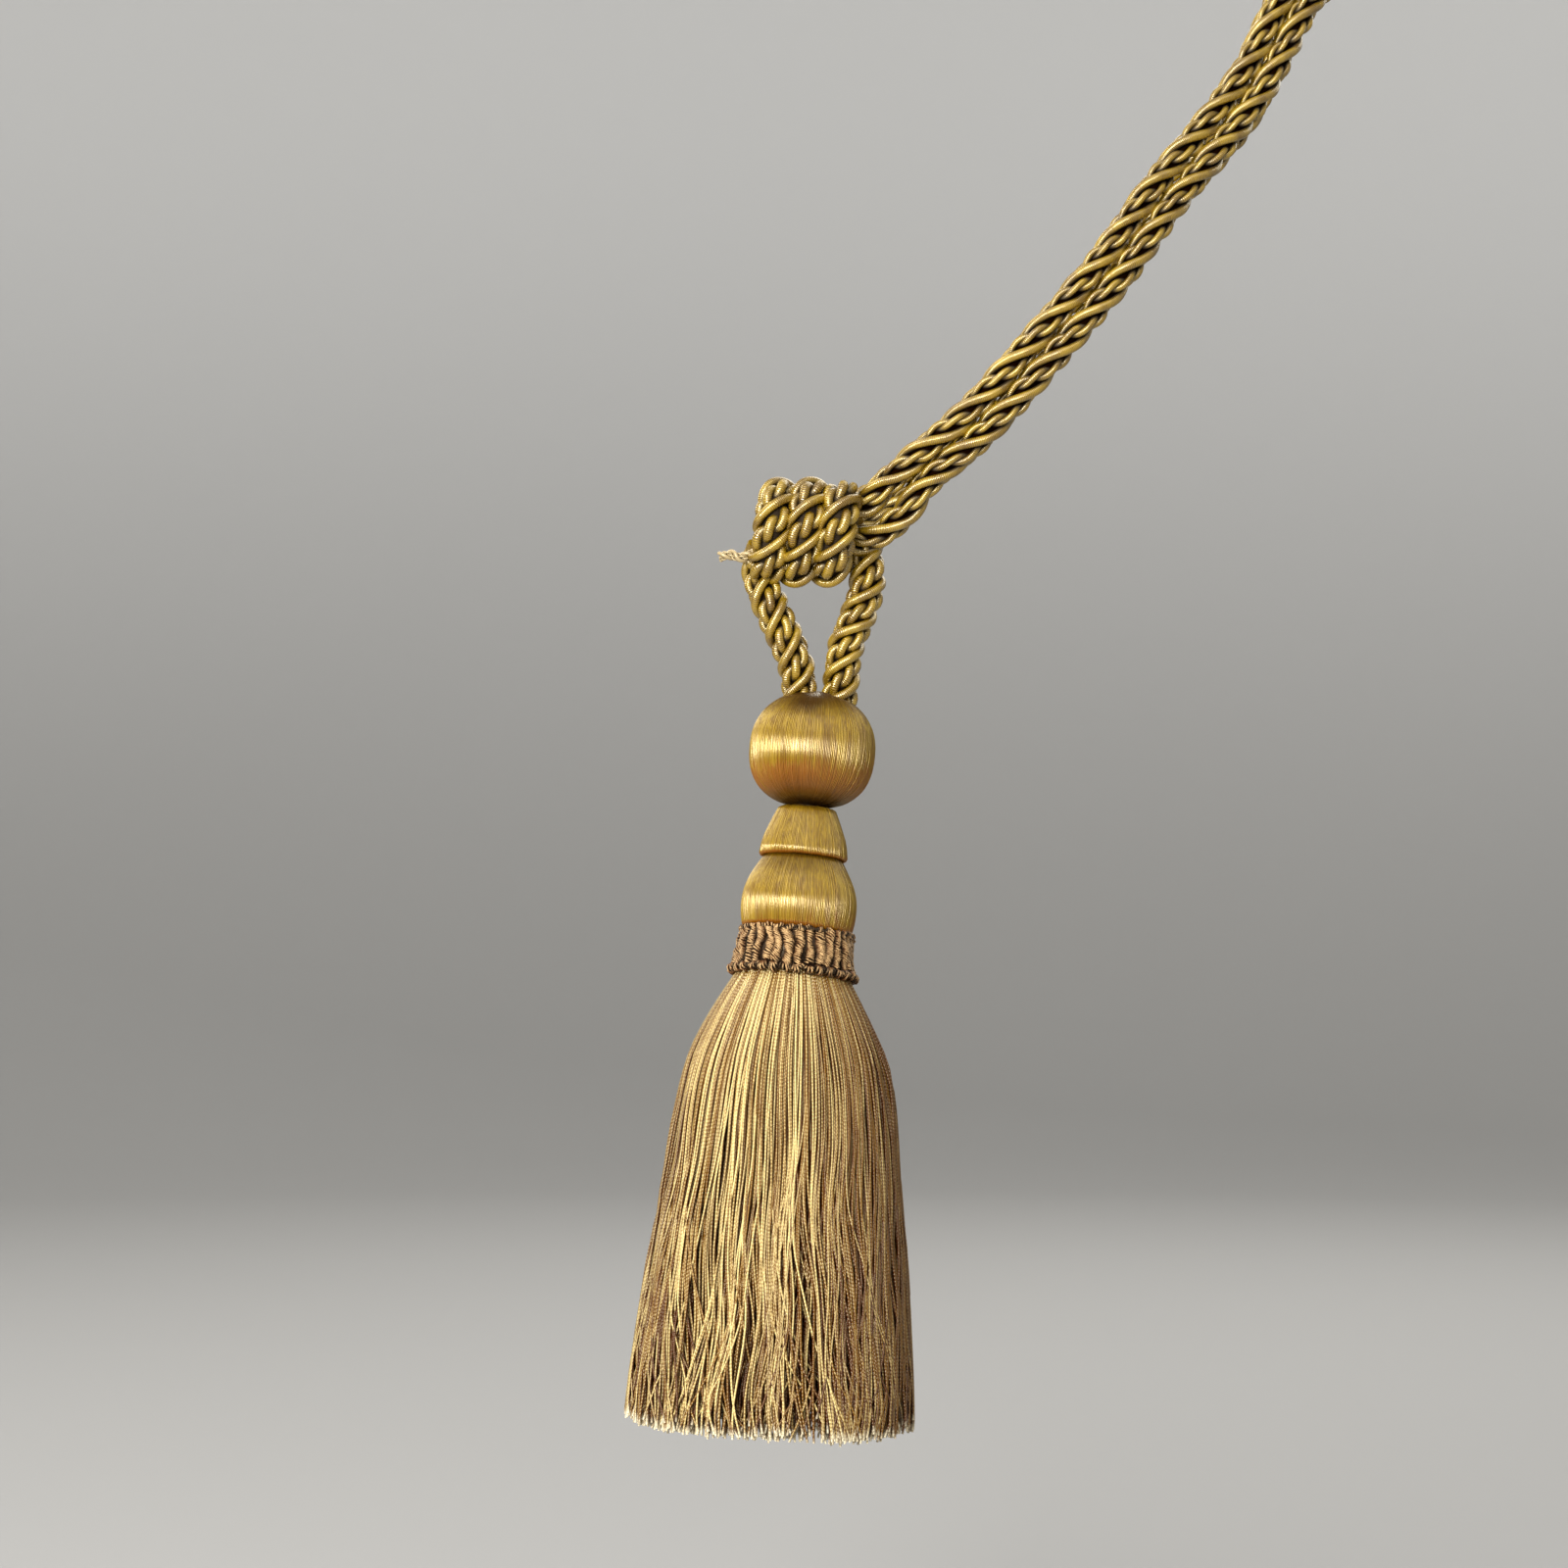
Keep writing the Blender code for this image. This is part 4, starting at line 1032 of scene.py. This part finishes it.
class TIEBACK_OT_skirt(bpy.types.Operator):
    """Hang the yarns of the skirt in layers, from the outside in"""
    bl_idname = "tieback.skirt"
    bl_label = "Skirt"

    def execute(self, context):
        settings, tools = context.scene.tieback_skirt, shared_tools(context)
        tree = skirt_tree()
        shared = {
            "Yarn Radius": settings.yarn_diameter / 2, "Top": SKIRT_TOP * MM,
            "Length": (SKIRT_TOP - SKIRT_HEM) * MM, "Depth Ratio": SKIRT_DEPTH_RATIO,
            "Swing": SKIRT_SWING, "Back Swing": SKIRT_BACK_SWING,
            "Slope Across": HEM_SLOPE_ACROSS, "Slope Back": HEM_SLOPE_BACK, "Wander": settings.wander,
            "Material": tools["yarn"],
        }
        columns = ("Yarns", "Points", "Sides", "Inner Share", "Outer Share", "Shortest", "Crossing", "Seed")
        for name, *numbers in SKIRT_LAYERS:
            values = {**shared, **dict(zip(columns, numbers))}
            nodes = ("skirt",) if name == "skirt_outer" else ()
            placed(grown(name, bpy.data.meshes.new(name), tree, values, head_matrix()), "yarn", *nodes)
        return {"FINISHED"}


# ---- camera, lights and backdrop

class TasselStageSettings(bpy.types.PropertyGroup):
    floor_drop: length_property("Floor", "Height of the floor under the hook", -0.62)
    key_power: power_property("Key light", "Power of the low main light", 46.0)
    overhead_power: power_property("Overhead light", "Power of the soft light from above", 9.0)
    rim_power: power_property("Rim light", "Power of the light along the left edge", 9.0)
    back_power: power_property("Back light", "Power of the soft light on the back", 12.0)


class TIEBACK_OT_stage(bpy.types.Operator):
    """Set the camera, a round backdrop of pale paper, and soft light"""
    bl_idname = "tieback.stage"
    bl_label = "Stage"

    def execute(self, context):
        scene, settings, centre = context.scene, context.scene.tieback_stage, Vector(VIEW_CENTRE)
        lens = bpy.data.cameras.new("camera")
        lens.lens, lens.sensor_width = LENS, SENSOR
        scene.camera = linked(bpy.data.objects.new("camera", lens))
        scene.camera.location = centre - Vector((0.0, VIEW_DISTANCE, 0.0))
        scene.camera.rotation_euler = (math.pi / 2, 0.0, 0.0)
        self.add_backdrop(settings.floor_drop)
        for name, size, spot, aim in LAMPS:
            lamp = bpy.data.lights.new(name, "AREA")
            lamp.shape = "RECTANGLE"
            lamp.size, lamp.size_y = size
            lamp.energy = getattr(settings, name + "_power")
            light = linked(bpy.data.objects.new(name, lamp))
            light.location = centre + Vector(spot)
            facing = Vector((0.0, 0.0, aim)) - Vector(spot)
            light.rotation_euler = facing.to_track_quat("-Z", "Y").to_euler()
        world = bpy.data.worlds.new("studio")
        world.use_nodes = True
        background = world.node_tree.nodes["Background"].inputs
        background["Color"].default_value = srgb("#E9EAEC")
        background["Strength"].default_value = WORLD_STRENGTH
        scene.world = world
        scene.view_settings.view_transform = "Standard"
        return {"FINISHED"}

    def add_backdrop(self, floor):
        """One round sheet: the floor, a rounded corner and a wall all round, so every side has it behind."""
        rows = [(0.0, floor), (SWEEP_FLAT, floor)]
        for i in range(SWEEP_ROWS + 1):
            angle = math.pi / 2 * i / SWEEP_ROWS
            rows.append((SWEEP_REACH - SWEEP_CORNER * (1 - math.sin(angle)),
                         floor + SWEEP_CORNER * (1 - math.cos(angle))))
        rows.append((SWEEP_REACH, floor + SWEEP_TOP))
        mesh = turned_mesh("floor", [(wide / MM, high / MM) for wide, high in rows], SWEEP_AROUND)
        mesh.transform(Matrix.Translation((*VIEW_CENTRE[:2], 0.0)))
        mesh.shade_smooth()
        # Paper without gloss, grey underfoot and paler up the wall, so no reflection draws the eye
        material, add = new_material("Matt paper", Roughness=0.9, Specular_IOR_Level=0.2)
        height = add(SEPARATE, (add(COORDINATES).outputs["Object"],)).outputs["Z"]
        up = add(RANGE, (height, floor, floor + SWEEP_CORNER), interpolation_type="SMOOTHSTEP")
        colour = add(MIX, (up, srgb("#A5A39F"), srgb("#E2E1DE")), data_type="RGBA")
        mesh.materials.append(finished(material, Base_Color=colour))
        linked(bpy.data.objects.new("floor", mesh))


# ---- the add-on

TOOLS = {}


def shared_tools(context):
    """The materials and the rope's node trees, made once."""
    if not TOOLS:
        scene, yarns = context.scene, context.scene.tieback_skirt
        TOOLS.update(
            rope=gimp_cord_material(scene.tieback_rope), floss=floss_material(scene.tieback_head),
            gimp=ruff_material(scene.tieback_ruff),
            yarn=yarn_material("Rayon yarn, plied", yarns.yarn_shade, yarns.yarn_light, yarns.yarn_deep,
                               yarns.yarn_end),
            frayed=yarn_material("Rayon thread, frayed", *map(srgb, FRAYED_COLOURS), yarns.yarn_end),
            winding=winding_group(), crevice=crevice_group())
        TOOLS["rope_tree"] = rope_tree(TOOLS["winding"], TOOLS["crevice"])
    return TOOLS


class TIEBACK_PT_panel(bpy.types.Panel):
    """The tassel's sizes and colours, and a button for each piece"""
    bl_idname = "TIEBACK_PT_panel"
    bl_label = "Curtain Tieback Tassel"
    bl_space_type = "VIEW_3D"
    bl_region_type = "UI"
    bl_category = "Tassel"

    def draw(self, context):
        for group, settings in SETTINGS:
            box = self.layout.box()
            for key in settings.__annotations__:
                box.prop(getattr(context.scene, group), key)
        for operator in OPERATORS:
            self.layout.operator(operator.bl_idname)


SETTINGS = (
    ("tieback_stage", TasselStageSettings),
    ("tieback_rope", TasselRopeSettings),
    ("tieback_head", TasselHeadSettings),
    ("tieback_ruff", TasselRuffSettings),
    ("tieback_skirt", TasselSkirtSettings),
)
OPERATORS = (
    TIEBACK_OT_stage,
    TIEBACK_OT_embrace,
    TIEBACK_OT_hanging_loop,
    TIEBACK_OT_knot,
    TIEBACK_OT_beads,
    TIEBACK_OT_ruff,
    TIEBACK_OT_skirt,
)


def register():
    for group, settings in SETTINGS:
        bpy.utils.register_class(settings)
        setattr(bpy.types.Scene, group, PointerProperty(type=settings))
    for made in (*OPERATORS, TIEBACK_PT_panel):
        bpy.utils.register_class(made)


def unregister():
    for made in (TIEBACK_PT_panel, *reversed(OPERATORS)):
        bpy.utils.unregister_class(made)
    for group, settings in reversed(SETTINGS):
        delattr(bpy.types.Scene, group)
        bpy.utils.unregister_class(settings)


def main():
    register()
    bpy.ops.tieback.stage()
    bpy.ops.tieback.embrace()
    bpy.ops.tieback.hanging_loop()
    bpy.ops.tieback.knot()
    bpy.ops.tieback.beads()
    bpy.ops.tieback.ruff()
    bpy.ops.tieback.skirt()


if __name__ == "__main__":
    main()
